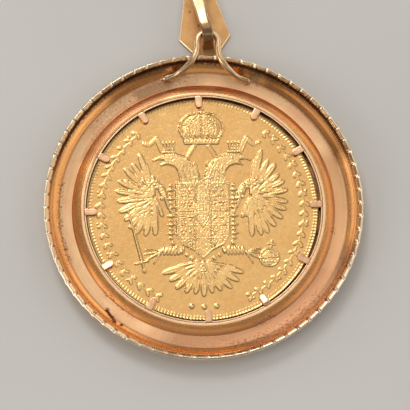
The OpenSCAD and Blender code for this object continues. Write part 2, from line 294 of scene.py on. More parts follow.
def build_repeat_tree():
    tree = bpy.data.node_groups.new("repeat_around", "GeometryNodeTree")
    tree.interface.new_socket("Geometry", in_out="OUTPUT", socket_type="NodeSocketGeometry")
    tree.interface.new_socket("Geometry", in_out="INPUT", socket_type="NodeSocketGeometry")
    for name, kind in REPEAT_INPUTS.items():
        tree.interface.new_socket(name, in_out="INPUT", socket_type=kind)
    given = tree.nodes.new("NodeGroupInput").outputs
    number = add(tree, "GeometryNodeInputIndex").outputs[0]
    step = maths(tree, "DIVIDE", 2 * math.pi, given["Count"])

    def random(limit, offset):
        low = maths(tree, "MULTIPLY", given[limit], -1.0)
        seed = maths(tree, "ADD", given["Seed"], offset)
        node = add(tree, "FunctionNodeRandomValue", {2: low, 3: given[limit], 7: number, 8: seed},
                   data_type="FLOAT")
        return node.outputs[1]

    turn = maths(tree, "ADD", maths(tree, "MULTIPLY", number, step), given["Start turn"])
    turn = maths(tree, "ADD", turn, random("Random turn", 0))
    reach = random("Random reach", 1)
    shift = add(tree, "ShaderNodeCombineXYZ", {0: maths(tree, "MULTIPLY", reach, maths(tree, "COSINE", turn)),
                                               1: maths(tree, "MULTIPLY", reach, maths(tree, "SINE", turn))})
    points = add(tree, "GeometryNodePoints", {"Count": given["Count"], "Position": shift.outputs[0]})
    rotation = add(tree, "ShaderNodeCombineXYZ", {2: turn})
    copies = add(tree, "GeometryNodeInstanceOnPoints", {
        "Points": points.outputs[0], "Instance": given["Geometry"],
        "Rotation": rotation.outputs[0]})
    solid = add(tree, "GeometryNodeRealizeInstances", {0: copies.outputs[0]})
    joined = add(tree, "GeometryNodeMergeByDistance",
                 {"Geometry": solid.outputs[0], "Distance": given["Join distance"]})
    painted = add(tree, "GeometryNodeSetMaterial",
                  {"Geometry": joined.outputs[0], "Material": given["Finish"]})
    out = tree.nodes.new("NodeGroupOutput")
    tree.links.new(painted.outputs[0], out.inputs[0])
    return tree


repeat_tree = build_repeat_tree()


def repeat_around(thing, material, **values):
    """Sets copies of thing around the centre and keeps the result as a plain mesh."""
    modifier = thing.modifiers.new("repeat", "NODES")
    modifier.node_group = repeat_tree
    values = {"Finish": material, **values}
    for item in repeat_tree.interface.items_tree:
        if item.item_type == "SOCKET" and item.in_out == "INPUT" and item.name in values:
            modifier[item.identifier] = values[item.name]
    return keep_result(thing)


print("the dividing tree has", len(repeat_tree.nodes), "nodes")

# %% [markdown]
# ## Finish of the spun ring
# Fine lines run around the ring, as on sheet that is spun on a lathe. Its steps have caught
# polish differently: the flat ledge is matt and pinkish, the walls are orange and shinier, the
# rim's facet is bright, and painted shade darkens the corners between the steps. Arcs of painted
# shade darken some sides of the ring, and each of the rim's cuts has painted shade and a painted
# highlight.
# Because every step is a circle, one ramp over the distance from the centre can place all these
# colours. Noise that is fine across the steps and long around them draws the lathe's lines.

# %% Spun gold material


def ring_places(tree, place):
    """Distance from the centre in millimetres, the way from the centre, and the height."""
    parts = add(tree, "ShaderNodeSeparateXYZ", {0: place}).outputs
    flat = add(tree, "ShaderNodeCombineXYZ", {0: parts[0], 1: parts[1]}).outputs[0]
    return vectors(tree, "LENGTH", flat), vectors(tree, "NORMALIZE", flat), parts[2]


def around_place(tree, radius, way, across, along):
    """A noise place that changes fast across the ring's steps and slowly around them."""
    parts = add(tree, "ShaderNodeSeparateXYZ", {0: vectors(tree, "SCALE", way, along)}).outputs
    up = maths(tree, "MULTIPLY", radius, across)
    return add(tree, "ShaderNodeCombineXYZ", {0: parts[0], 1: parts[1], 2: up}).outputs[0]


def around(angle, radius):
    """A place from its angle in degrees and its distance from the ring's centre."""
    return radius * math.cos(math.radians(angle)), radius * math.sin(math.radians(angle))


def pushed(tree, place, ragged=0.55):
    """The place moved a little by a noise, so that a mark read from it has a ragged edge."""
    push = add(tree, "ShaderNodeTexNoise", {"Vector": place, "Scale": 2.6, "Detail": 4.0, "Roughness": 0.65})
    push = vectors(tree, "SUBTRACT", push.outputs["Color"], (0.5, 0.5, 0.5))
    return vectors(tree, "ADD", place, vectors(tree, "SCALE", push, ragged * 2))


def spots(tree, place, marks, ragged=0.55):
    """1 within ragged spots and 0 outside; each mark is a place and a size in millimetres."""
    flat = vectors(tree, "MULTIPLY", pushed(tree, place, ragged), (1.0, 1.0, 0.0))
    total = 0.0
    for (x, y), size in marks:
        away = maths(tree, "DIVIDE", vectors(tree, "DISTANCE", flat, (x, y, 0.0)), size)
        total = maths(tree, "MAXIMUM", total, maths(tree, "SUBTRACT", 1.0, away, clamp=True))
    return fade_in(tree, total, 0.08, 0.55)


def arc_marks(tree, radius, way, marks):
    """1 within arcs of the ring and 0 outside; each mark has its middle and half its span in
    degrees, and its distance from the centre and half its width in millimetres."""
    total = 0.0
    for middle, half_span, far, half_width in marks:
        edge = math.cos(math.radians(half_span))
        facing = vectors(tree, "DOT_PRODUCT", way, (*around(middle, 1.0), 0.0))
        along = maths(tree, "DIVIDE", maths(tree, "SUBTRACT", facing, edge), 0.9 * (1 - edge))
        aside = maths(tree, "ABSOLUTE", maths(tree, "SUBTRACT", radius, far))
        across = maths(tree, "SUBTRACT", 1.0, maths(tree, "DIVIDE", aside, half_width), clamp=True)
        total = maths(tree, "MAXIMUM", total, maths(tree, "MINIMUM", along, across))
    return fade_in(tree, total, 0.08, 0.55)


def step_ramp(tree, radius, stops, low=19.0, high=27.4):
    """A ramp over the distance from the centre; stops are (millimetres, screen colour or grey)."""
    value = maths(tree, "DIVIDE", maths(tree, "SUBTRACT", radius, low), high - low)
    return ramp(tree, value, [((r - low) / (high - low),
                               screen_colour(*shade) if isinstance(shade, tuple) else grey(shade))
                              for r, shade in stops])


STEP_COLOURS_AND_SHADE = [
    # strip and its edge, then slope, then ledge, then wall, then groove, then rim; the dark stops by the
    # strip and at the ledge's edges are painted shade in the gap and in the corners
    (20.3, (70, 44, 24)), (20.42, (250, 208, 158)), (20.8, (252, 214, 164)),
    (20.98, (250, 178, 106)), (22.2, (248, 166, 90)), (22.4, (190, 120, 70)),
    (22.54, (250, 206, 158)), (24.35, (250, 208, 160)), (24.64, (206, 136, 82)),
    (24.9, (252, 180, 106)), (25.9, (248, 184, 112)), (26.03, (222, 190, 150)),
    (26.27, (226, 198, 160)), (26.34, (232, 182, 122)), (26.68, (244, 206, 152)),
    (26.76, (254, 238, 204)), (27.2, (255, 242, 214)),
]
STEP_POLISH = [
    (20.3, 0.30), (20.85, 0.30), (21.0, 0.30), (22.4, 0.32), (22.55, 0.50), (24.55, 0.46), (24.75, 0.30),
    (26.0, 0.26), (26.3, 0.16), (27.2, 0.20),
]
ON_LEDGE = [(22.5, 0.0), (22.6, 1.0), (24.5, 1.0), (24.7, 0.0)]
# Painted shade at the foot of each rim cut and a painted highlight across the rest of it.
CUT_SHADE_AND_GLINT_COLOURS = [(26.32, (96, 60, 34)), (26.4, (150, 104, 62)), (26.5, (255, 244, 222))]
CUT_PAINT_FROM_HEIGHT = 2.3
TARNISH_AND_PAINTED_SHADE = [
    # arcs as (middle, half span, radius, half width), colour as a screen shows it, amount, and
    # flecks where the mark is broken up
    # The plain arcs are painted shade: on the slope, ledge and wall at the top, in the groove under the rim,
    # on the ledge and walls at the right and beside the wire's ends; the one on the ledge at the lower right
    # is painted shade and brown grime together. The flecked marks are grime.
    ([(103, 49, 21.8, 0.9)], (168, 120, 92), 0.6),
    ([(118.5, 15, 25.5, 1.3)], (150, 92, 44), 0.6),
    ([(113, 10, 23.2, 1.5)], (120, 86, 60), 0.5),
    ([(297, 52, 23.5, 1.9)], (188, 138, 102), 0.9),
    ([(2, 30, 23.4, 1.7)], (206, 156, 112), 0.75),
    ([(315, 36, 25.6, 1.5)], (172, 132, 100), 0.9),
    ([(45, 27, 25.4, 1.5)], (140, 92, 52), 0.9),
    ([(134, 28, 21.5, 1.7)], (172, 120, 82), 0.85),
    ([(100, 82, 26.15, 0.4)], (116, 84, 56), 0.9),
    ([(73, 5, 25.1, 1.1), (103, 5, 25.1, 1.1)], (160, 122, 86), 0.85),
    ([(304, 26, 24.5, 1.1), (187, 21, 24.6, 0.7)], (130, 82, 54), 0.9, "flecks"),
    ([(121, 31, 23.6, 1.2), (269, 17, 23.8, 1.0)], (164, 116, 86), 0.6, "flecks"),
    ([(230, 11, 22.3, 0.6), (299, 6, 22.3, 0.6), (352, 2, 22.3, 0.6)], (120, 70, 40), 0.8, "flecks"),
]
DARK_MARK = [((-15.9 + 0.2 * k, -18.4 - 0.3 * k), 0.45) for k in range(8)] + [((-13.3, -21.0), 0.42)]


def painted_cut_glints(tree, colour, radius, way, height):
    """The colour with painted shade and a painted highlight in each of the rim's cuts."""
    parts = add(tree, "ShaderNodeSeparateXYZ", {0: way}).outputs
    turn = maths(tree, "ARCTAN2", parts[1], parts[0])
    turn = maths(tree, "MULTIPLY", turn, NOTCHES / (2 * math.pi))
    from_cut = maths(tree, "SUBTRACT", maths(tree, "PINGPONG", turn, 0.5), 0.44)
    near_cut = maths(tree, "DIVIDE", from_cut, 0.03, clamp=True)
    near_cut = maths(tree, "MULTIPLY", near_cut, maths(tree, "GREATER_THAN", height, CUT_PAINT_FROM_HEIGHT))
    return mix_colours(tree, near_cut, colour, step_ramp(tree, radius, CUT_SHADE_AND_GLINT_COLOURS))


def tarnished_and_shaded(tree, colour, place):
    """The colour with painted shade and grime on arcs of the ring, the grime flecks and the one dark mark."""
    speckled = fade_in(tree, noise(tree, place, 2.8, 4.0, 0.75), 0.5, 0.6)
    radius, way, _ = ring_places(tree, pushed(tree, place))
    for marks, stain, amount, *flecks in TARNISH_AND_PAINTED_SHADE:
        mask = arc_marks(tree, radius, way, marks)
        if flecks:
            mask = maths(tree, "MULTIPLY", mask, speckled)
        colour = tinted(tree, colour, mask, amount, stain)
    return tinted(tree, colour, spots(tree, place, DARK_MARK), 0.95, (92, 40, 26))


def spun_gold():
    material, tree, shader, place = new_material("spun_gold")
    radius, way, height = ring_places(tree, place)
    lines = noise(tree, around_place(tree, radius, way, 9.0, 2.2), 1.0, 4.0, 0.6)
    broad_lines = noise(tree, around_place(tree, radius, way, 2.4, 3.2), 1.0, 4.0, 0.6)
    on_ledge = step_ramp(tree, radius, ON_LEDGE)
    broad_lines = mix_colours(tree, maths(tree, "MULTIPLY", on_ledge, 0.75), broad_lines, grey(0.5))
    cloudy = noise(tree, place, 0.32, 5.0, 0.62)
    grain = noise(tree, place, 4.5, 4.0, 0.7)
    colour = step_ramp(tree, radius, STEP_COLOURS_AND_SHADE)
    colour = dimmed(tree, colour, weighted(tree, 0.64, (lines, 0.3), (grain, 0.42)))
    colour = tinted(tree, colour, fade_in(tree, cloudy, 0.38, 0.68), 0.45, (234, 166, 122))
    colour = tinted(tree, colour, fade_in(tree, broad_lines, 0.5, 0.72), 0.4, (196, 126, 76))
    colour = tarnished_and_shaded(tree, painted_cut_glints(tree, colour, radius, way, height), place)
    polish = step_ramp(tree, radius, STEP_POLISH)
    polish = weighted(tree, polish, (maths(tree, "SUBTRACT", grain, 0.5), 0.3))
    relief = weighted(tree, maths(tree, "MULTIPLY", lines, 0.7), (grain, 0.6), (broad_lines, 0.8))
    finish_shader(tree, shader, colour, polish, relief, depth_mm=0.035, strength=0.6)
    return material


spun = spun_gold()
print("spun gold has", len(spun.node_tree.nodes), "nodes")

# %% [markdown]
# ## The notched ring
# The ring's cross-section is taken to be the same all around, apart from 72 small cuts across the
# rim's inner facet, which push the metal out a little on the other side. So one 5-degree slice with
# a single cut is enough. The cross-section has every corner rounded, because a sheet never folds
# sharply. The dividing tree sets the slice around 72 times and joins it into one closed ring.

# %% Cross-section
FACET_IN_R = WALL_OUT_R + 0.31
RING_CORNERS = [
    # radius, height, rounding, pieces up to the next corner, swelling on the way there
    (BORE_R, 0.28, 0.02, 2), (BORE_R, EDGE_HEIGHT, 0.07, 1), (EDGE_OUT_R, EDGE_HEIGHT, 0.13, 7, 0.07),
    (LEDGE_IN_R, LEDGE_HEIGHT, 0.10, 8, -0.05), (LEDGE_OUT_R, LEDGE_HEIGHT + LEDGE_RISE, 0.28, 7, -0.09),
    (WALL_OUT_R, WALL_TOP, 0.07, 1), (WALL_OUT_R + 0.125, WALL_TOP - 0.12, 0.05, 1),
    (WALL_OUT_R + 0.25, WALL_TOP + 0.05, 0.05, 2), (FACET_IN_R, 2.93, 0.06, 4), (26.74, 3.19, 0.06, 1),
    (26.92, 3.25, 0.07, 2), (RING_R - 0.09, 3.04, 0.1, 1), (RING_R - 0.09, 2.6, 0.08, 2),
    (26.75, 1.95, 0.2, 1), (26.5, 1.55, 0.2, 2), (24.97, 0.45, 0.2, 2), (23.66, 0.0, 0.2, 1),
    (LEDGE_IN_R, 0.0, 0.1, 1), (21.96, 0.1, 0.1, 3), (19.2, 0.1, 0.06, 1), (19.2, 0.28, 0.05, 1),
]


def rounded_section(corners, arc_pieces=3):
    """Points of the closed cross-section, with each corner turned into a small arc."""
    places = [Vector(c[:2]) for c in corners]
    section = []
    for i, (here, corner) in enumerate(zip(places, corners)):
        before, after = places[i - 1], places[(i + 1) % len(places)]
        size = min(corner[2], 0.45 * (before - here).length, 0.45 * (after - here).length)
        start = here + size * (before - here).normalized()
        end = here + size * (after - here).normalized()
        for k in range(arc_pieces + 1):
            t = k / arc_pieces
            section.append((1 - t) ** 2 * start + 2 * t * (1 - t) * here + t * t * end)
        following = corners[(i + 1) % len(corners)]
        next_size = min(following[2], 0.45 * (after - here).length)
        stop = after + next_size * (here - after).normalized()
        swell = corner[4] * Vector((here.y - after.y, after.x - here.x)).normalized() if corner[4:] else None
        for k in range(1, corner[3]):
            t = k / corner[3]
            section.append(end.lerp(stop, t) + (4 * t * (1 - t) * swell if swell else Vector((0, 0))))
    return section


ring_section = rounded_section(RING_CORNERS)
print("the ring's cross-section has", len(ring_section), "points")

# %% One slice, repeated
CUT_R, CUT_HALF_WIDTH = 27, 0.27
CUT_DEPTH, CUT_LEAN = 0.24, 0.12
BURR, BURR_SPREAD, BURR_DROP = 0.09, 0.3, 0.06
SLICE_OFFSETS = [0, 0.09, 0.18, 0.27, 0.45, 0.8]


def notch_shape(offset):
    """Depth of the cut, from 0 to 1, at an offset along the rim in millimetres."""
    return max(0.0, 1.0 - abs(offset) / CUT_HALF_WIDTH) ** 0.75


def rim_point(r, z, offset):
    """The cross-section's point moved by the cut: down on the facet, outwards on the edge."""
    cut = notch_shape(offset)
    burr = BURR * math.exp(-(offset / BURR_SPREAD) ** 2) if r > RING_R - 0.3 and z > 2.5 else 0.0
    if z < 2.8 or burr:
        return r + burr, z - BURR_DROP * cut * (burr > 0)
    fading = max(0.4, min(1.0, (27.1 - r) / 0.6))
    return r + CUT_LEAN * cut * (r < FACET_IN_R + 0.1), z - CUT_DEPTH * cut * fading


def ring_slice():
    half = math.pi / NOTCHES
    turns = [offset / CUT_R for offset in SLICE_OFFSETS]
    angles = [-half] + [-turn for turn in turns[:0:-1]] + turns + [half]
    points = []
    for angle in angles:
        for p in ring_section:
            r, z = rim_point(p.x, p.y, angle * CUT_R)
            points.append((r * math.cos(angle), r * math.sin(angle), z))
    return make_object("ring", points, sleeve(len(angles), len(ring_section)))


ring = repeat_around(ring_slice(), spun, **{
    "Count": NOTCHES, "Start turn": math.pi / NOTCHES, "Join distance": 1e-6})
turn_outwards(ring)
print("the ring has", triangles(ring), "triangles")

# %% [markdown]
# ## The wire loop and its solder
# The loop is a round wire, bent into an omega and laid over the rim, with its two ends soldered onto
# the ledge. It is made as a round tube that follows a smooth curve through the same places as the
# solid, a little flatter at its ends. The solder is a low puddle with an uneven edge around each end.

# %% Wire path
LEG_PLACES = [
    (LOOP_R, LOOP_Y, LOOP_HEIGHT), (LOOP_R + 0.02, LOOP_Y - 1.2, LOOP_HEIGHT),
    (LOOP_R + 0.2, LOOP_Y - 2.2, LOOP_HEIGHT), (LOOP_R + 0.65, LOOP_Y - 3.2, LOOP_HEIGHT - 0.1),
    (LOOP_R + 1.4, LOOP_Y - 4.1, LOOP_HEIGHT - 0.5), (LOOP_R + 2.5, LOOP_Y - 4.95, LOOP_HEIGHT - 1.2),
    (LOOP_R + 3.8, LOOP_Y - 5.6, LOOP_HEIGHT - 2.05), (7.5, 23.2, LEDGE_HEIGHT + 0.24 + WIRE_R),
]


def smooth_path(places, pieces):
    """A curve that passes smoothly through the places."""
    p = [Vector(q) for q in places]
    path = []
    for i in range(len(p) - 1):
        a, b, c, d = p[max(i - 1, 0)], p[i], p[i + 1], p[min(i + 2, len(p) - 1)]
        for k in range(pieces):
            t = k / pieces
            path.append(0.5 * (2 * b + (c - a) * t + (2 * a - 5 * b + 4 * c - d) * t * t
                               + (3 * b - a - 3 * c + d) * t ** 3))
    return path + [p[-1]]


def tube(name, path, radii, sides, material):
    """A closed tube along a path; radii are (across, upright) for each point."""
    points = []
    last = len(path) - 1
    for i, here in enumerate(path):
        along = (path[min(i + 1, last)] - path[max(i - 1, 0)]).normalized()
        side = along.cross(Vector((0, 0, 1))).normalized()
        up = side.cross(along)
        for k in range(sides):
            a = 2 * math.pi * k / sides
            points.append(here + radii[i][0] * math.cos(a) * side + radii[i][1] * math.sin(a) * up)
    faces = sleeve(len(path), sides)
    faces += [tuple(range(sides))[::-1], tuple(last * sides + k for k in range(sides))]
    return make_object(name, points, faces, material)


right_leg = smooth_path(LEG_PLACES, 8)
top_arc = [Vector((x, LOOP_Y + y, LOOP_HEIGHT)) for x, y in (around(a, LOOP_R) for a in range(174, 0, -6))]
left_leg = [Vector((-p.x, p.y, p.z)) for p in reversed(right_leg)]
wire_path = left_leg + top_arc + right_leg
print("the wire is", round(sum((b - a).length for a, b in zip(wire_path, wire_path[1:])), 1), "mm long")

# %% Wire gold material


def scratches(tree, place, turn, stretch, scale, detail):
    """Long scratches in one direction."""
    place = add(tree, "ShaderNodeMapping", {"Vector": place, "Rotation": turn, "Scale": stretch}).outputs[0]
    return noise(tree, place, scale, detail, 0.7)


def worn_gold(name, light, dark, polish, scale=1.0, scratch_depth=0.012, grain_depth=0.5, marks=()):
    """Gold with cloudy colour, fine grain, long scratches in two directions and perhaps dark spots, which are
    grime specks on the plate and painted shade on the strap.
    """
    material, tree, shader, place = new_material(name)
    cloudy = noise(tree, place, 0.5 * scale, 4.0, 0.6)
    grain = noise(tree, place, 9.0 * scale, 3.0, 0.6)
    lines = maths(tree, "MAXIMUM",
                  scratches(tree, place, (0.3, 0.2, 0.9), (0.5, 9.0, 9.0), 1.6 * scale, 5.0),
                  scratches(tree, place, (0.1, 0.4, -0.6), (0.6, 7.0, 7.0), 1.9 * scale, 4.0))
    colour = ramp(tree, cloudy, [(0.3, screen_colour(*dark)), (0.68, screen_colour(*light))])
    colour = dimmed(tree, colour, weighted(tree, 0.84, (grain, 0.3)))
    if marks:
        colour = tinted(tree, colour, spots(tree, place, marks, 0.2), 0.6, (96, 58, 32))
    rough = weighted(tree, polish - 0.1, (lines, 0.2))
    height = weighted(tree, lines, (grain, grain_depth))
    finish_shader(tree, shader, colour, rough, height, depth_mm=scratch_depth, strength=0.7)
    return material


wire_gold = worn_gold("wire_gold", (250, 216, 172), (212, 172, 124), 0.15, scale=1.4, scratch_depth=0.022)
solder_gold = worn_gold("solder_gold", (250, 214, 178), (196, 146, 110), 0.3, scale=2.0, scratch_depth=0.08)
print("two finishes for the wire and its solder")

# %% Wire and solder


def hammered(path):
    """Radii of the wire: round over the rim, a little flat and wide at its soldered ends."""
    radii = []
    last = len(path) - 1
    for i in range(len(path)):
        near = max(0.0, 1 - min(i, last - i) / 9)
        dent = 0.03 * math.sin(2.3 * i) * near
        radii.append((WIRE_R * (1 + 0.06 * near) + dent, WIRE_R * (1 - 0.12 * near) + 0.5 * dent))
    for end, share in ((0, 0.72), (1, 0.93)):
        radii[end] = tuple(share * v for v in radii[end])
        radii[last - end] = tuple(share * v for v in radii[last - end])
    return radii


wire = turn_outwards(tube("wire_loop", wire_path, hammered(wire_path), 24, wire_gold))


WIRE_END = (6.9, 23.5, 0.66)


def puddle(name, side, size, seed):
    """A low uneven drop of solder; size is (along the ledge, across it, height)."""
    rng = np.random.default_rng(seed)
    waves = [(k, rng.uniform(0.02, 0.11), rng.uniform(0, 6.3)) for k in (2, 3, 5, 7)]
    points = []
    rings, sides = 10, 32
    for i in range(rings + 1):
        rise = math.pi / 2 * i / rings
        for k in range(sides):
            a = 2 * math.pi * k / sides
            edge = 1 + sum(h * math.sin(n * a + s) for n, h, s in waves)
            reach = math.cos(rise) ** 0.8 * edge
            points.append((side * WIRE_END[0] + size[0] * reach * math.cos(a),
                           WIRE_END[1] + size[1] * reach * math.sin(a),
                           WIRE_END[2] + size[2] * math.sin(rise) ** 1.4))
    faces = sleeve(rings + 1, sides) + [tuple(range(sides))[::-1]]
    return turn_outwards(make_object(name, points, faces, solder_gold))


solder_left = puddle("solder_left", -1, (1.25, 0.85, 0.75), 3)
solder_right = puddle("solder_right", 1, (1.2, 0.85, 0.75), 8)
print("wire", triangles(wire), "triangles, solder", triangles(solder_left) + triangles(solder_right))

# %% [markdown]
# ## The claw strip
# A narrow strip stands around the coin inside the ring, and twelve tongues of it are bent over the
# coin's edge. One claw is made, as a flat tongue with a round tip and softened edges, a bend where it
# leaves the strip and a slight slope down to the coin. The dividing tree sets it around twelve times
# with a small random turn and reach, and each claw is then lifted and twisted a little by itself.
# Two of them are pressed until they glint as in the picture. One of these stands up at its
# root, higher than the solid.

# %% Claw and strip
CLAW_ROOT_R = 20.1
# Claw number: lift, twist
HAND_PRESSED = {7: (0.0, 0.23), 10: (-0.2, 0.0)}
strip_gold = worn_gold("strip_gold", (252, 216, 172), (240, 196, 150), 0.32, scale=1.6)
claw_gold = worn_gold("claw_gold", (240, 196, 156), (218, 166, 126), 0.27, scale=2.2)


def claw_mesh():
    """One claw along +X, from the strip to its round tip over the coin."""
    tip = COIN_R - CLAW_REACH
    half = CLAW_WIDTH / 2
    low = COIN_TOP + 0.02
    stations = [(STRIP_OUT_R - 0.02, 1.0, 0.0), (STRIP_OUT_R - 0.1, 1.0, 0.03), (20.0, 1.0, 0.035),
                (19.6, 1.0, 0.01), (19.2, 1.0, 0.0), (tip + half, 1.0, 0.0)]
    for k in range(1, 8):
        a = math.pi / 2 * k / 8
        stations.append((tip + half * (1 - math.sin(a)), math.cos(a), 0.0))
    stations.append((tip + 0.02, 0.08, 0.0))
    section = [(-1, 0.0), (-1, 0.62), (-0.96, 0.86), (-0.84, 0.97), (-0.5, 1.0), (0, 1.01),
               (0.5, 1.0), (0.84, 0.97), (0.96, 0.86), (1, 0.62), (1, 0.0)]
    points = []
    for i, (x, width, lift) in enumerate(stations):
        drop = 0.85 if i > len(stations) - 3 else 1.0
        for side, rise in section:
            points.append((x, half * width * side, low + lift + (CLAW_THICKNESS - 0.05) * drop * rise))
    n = len(section)
    faces = sleeve(len(stations), n)
    faces += [tuple(range(n)), tuple(range((len(stations) - 1) * n, len(stations) * n))[::-1]]
    return turn_outwards(make_object("claws", points, faces))


def revolve(name, corners, sides, material):
    """A closed ring turned from a cross-section of (radius, height, rounding, pieces) corners."""
    section = rounded_section(corners)
    points = [(p.x * math.cos(a), p.x * math.sin(a), p.y)
              for a in (2 * math.pi * i / sides for i in range(sides)) for p in section]
    return turn_outwards(make_object(name, points, sleeve(sides, len(section), closed=True), material))


def press_by_hand(thing):
    """Gives each claw a lift towards its tip and a twist, by chance or from the listed ones.
    A claw with a lift below zero stands up at its root and slopes down to its tip."""
    mesh, rng = thing.data, np.random.default_rng(4)
    half_width, length = 0.62 * MM, (CLAW_ROOT_R - COIN_R + CLAW_REACH) * MM
    places = np.zeros(len(mesh.vertices) * 3)
    mesh.vertices.foreach_get("co", places)
    places = places.reshape(CLAWS, -1, 3)
    for k, claw in enumerate(places):
        way = claw[:, :2].mean(0) / np.linalg.norm(claw[:, :2].mean(0))
        lift, twist = HAND_PRESSED.get(k, (rng.uniform(0, 0.035), rng.uniform(-0.06, 0.06)))
        inward = np.clip(CLAW_ROOT_R * MM - claw[:, :2] @ way, 0, None)
        across = claw[:, :2] @ np.array([-way[1], way[0]])
        claw[:, 2] += lift * inward + twist * across + abs(twist) * half_width
        claw[:, 2] -= min(lift, 0) * length * (inward > 0)
    mesh.vertices.foreach_set("co", places.ravel())
    mesh.update()
    return thing


claws = repeat_around(claw_mesh(), claw_gold, **{
    "Count": CLAWS, "Start turn": CLAW_TURN, "Random turn": math.radians(0.35),
    "Random reach": 0.02 * MM, "Seed": 5})
press_by_hand(claws)
claw_strip = revolve("claw_strip", [
    (STRIP_IN_R, COIN_BOTTOM, 0.03, 1), (STRIP_IN_R, EDGE_HEIGHT, 0.07, 1),
    (STRIP_OUT_R, EDGE_HEIGHT, 0.07, 1), (STRIP_OUT_R, COIN_BOTTOM, 0.03, 1)], 240, strip_gold)
print("claws", triangles(claws), "strip", triangles(claw_strip), "triangles")

# %% [markdown]
# ## The bail
# The bail is made as one strip of gold: a kite-shaped plate, whose far end is rolled over into a
# strap that comes back above the plate, goes around the wire and down to the plate. The picture cuts
# off the far end and the wire hides the strap's, so both are guesses.
# The plate is an outline with two set-in rims, so that its filed bevel is real. The strap is a flat
# section with rounded edges, swept along its side view. Its plan bends a little to one side, and
# over the plate it lies up to 0.6 mm lower than the solid, where the picture's highlight puts it.

# %% Bail sizes and finish
PLATE_T, STRAP_T, PLATE_OFFSET, WIDEST_Y, PLATE_W, TIP_HALF = 0.6, 0.5, -0.45, 0.35, 9.0, 0.7
BEND_R, BEND_HEIGHT = 1.5, LOOP_HEIGHT - 0.15
FOLD_R, FOLD_HALF, BEVEL = 1.25, 1.4, 0.2
FOLD_OUT_R = FOLD_R + STRAP_T / 2
PLATE_REACH, TIP_SLOPE = 15.0, math.radians(39)
FOLD_Y = WIDEST_Y + PLATE_REACH - FOLD_OUT_R
TIP_Y = WIDEST_Y - (PLATE_W / 2 - TIP_HALF) / math.tan(TIP_SLOPE)
STRAP_PLAN = [
    # along, middle, half width
    (-2, -0.05, 0.9), (0, -0.25, 0.9), (1.5, -0.56, 0.9), (3, -0.72, 0.95), (4.5, -0.85, 1.12),
    (6, -0.95, 1.2), (FOLD_Y, PLATE_OFFSET, FOLD_HALF), (FOLD_Y + 2, PLATE_OFFSET, FOLD_HALF)]
STRAP_BACK = [
    # along, height, from the bend over the wire to the start of the fold
    (0.25, 5.49), (0.9, 5.55), (1.7, 5.46), (2.9, 5.25), (4.2, 5.13), (6.0, 5.0), (8.0, 4.72), (11.0, 3.92)]

# Painted shade: the strap's low end, where it bends down over the wire, is darkened.
STRAP_PAINTED_SHADE = [((0.2, 30.6), 3.2), ((0.9, 30.2), 3.0)]
PLATE_SPOTS = [((-3.2, 36.0), 0.35), ((-1.6, 33.5), 0.4), ((-1.2, 34.0), 0.35), ((3.4, 35.2), 0.3),
               ((-2.4, 39.5), 0.3), ((2.0, 41.0), 0.35)]
bail_gold = worn_gold("bail_gold", (206, 160, 108), (184, 138, 90), 0.34,
                      scale=1.1, scratch_depth=0.02, marks=PLATE_SPOTS)
strap_gold = worn_gold("strap_gold", (252, 216, 172), (234, 186, 136), 0.23,
                       scale=1.2, scratch_depth=0.008, grain_depth=0.9, marks=STRAP_PAINTED_SHADE)
edge_gold = worn_gold("edge_gold", (255, 230, 190), (246, 206, 156), 0.24, scale=1.4, scratch_depth=0.02)
bail_place = Matrix.Translation((0, HINGE_Y * MM, 0)) @ Matrix.Rotation(BAIL_LEAN, 4, "Z")


def leaned(thing):
    """Puts a piece drawn along +Y from the wire into the bail's real place, in its mesh."""
    thing.data.transform(bail_place)
    return thing


def soften(thing, width_mm, angle):
    """Small rounded edges, kept in the mesh."""
    bevel = thing.modifiers.new("soft edges", "BEVEL")
    bevel.width, bevel.segments = width_mm * MM, 2
    bevel.limit_method, bevel.angle_limit = "ANGLE", math.radians(angle)
    return keep_result(thing)

# %% Plate


def inset_outline(outline, distance):
    """A convex outline moved inwards by a distance."""
    n = len(outline)
    middle = sum((Vector(p) for p in outline), Vector((0, 0))) / n
    lines = []
    for i in range(n):
        a, b = Vector(outline[i]), Vector(outline[(i + 1) % n])
        normal = Vector((-(b - a).y, (b - a).x)).normalized()
        if normal.dot(middle - a) < 0:
            normal = -normal
        lines.append((a + distance * normal, b - a))
    moved = []
    for i in range(n):
        (p, d), (q, e) = lines[i - 1], lines[i]
        t = ((q - p).x * e.y - (q - p).y * e.x) / (d.x * e.y - d.y * e.x)
        moved.append(tuple(p + t * d))
    return moved


def bail_plate():
    outline = [(-FOLD_HALF, FOLD_Y), (-PLATE_W / 2, WIDEST_Y), (-TIP_HALF, TIP_Y),
               (TIP_HALF, TIP_Y), (PLATE_W / 2, WIDEST_Y), (FOLD_HALF, FOLD_Y)]
    layers = [(inset_outline(outline, 0.04), 0.0), (outline, 0.05), (outline, PLATE_T - 0.7 * BEVEL),
              (inset_outline(outline, BEVEL), PLATE_T)]
    points = [(x + PLATE_OFFSET, y, z) for layer, z in layers for x, y in layer]
    n = len(outline)
    faces = [tuple(range(n)), tuple(range(3 * n, 4 * n))] + sleeve(len(layers), n)
    plate = make_object("bail_plate", points, faces, bail_gold, smooth=False)
    plate.data.materials.append(edge_gold)
    plate.data.polygons.foreach_set("material_index", [int(k >= 2 + 2 * n) for k in range(len(faces))])
    return leaned(soften(turn_outwards(plate), 0.03, 20))


plate = bail_plate()
print("plate", triangles(plate), "triangles")

# %% Strap


def turned_arc(middle, radius, first, last, pieces):
    """Points of an arc in the side view, without its first; angles are radians."""
    return [(middle[0] + radius * math.cos(a), middle[1] + radius * math.sin(a))
            for a in np.linspace(first, last, pieces)[1:]]


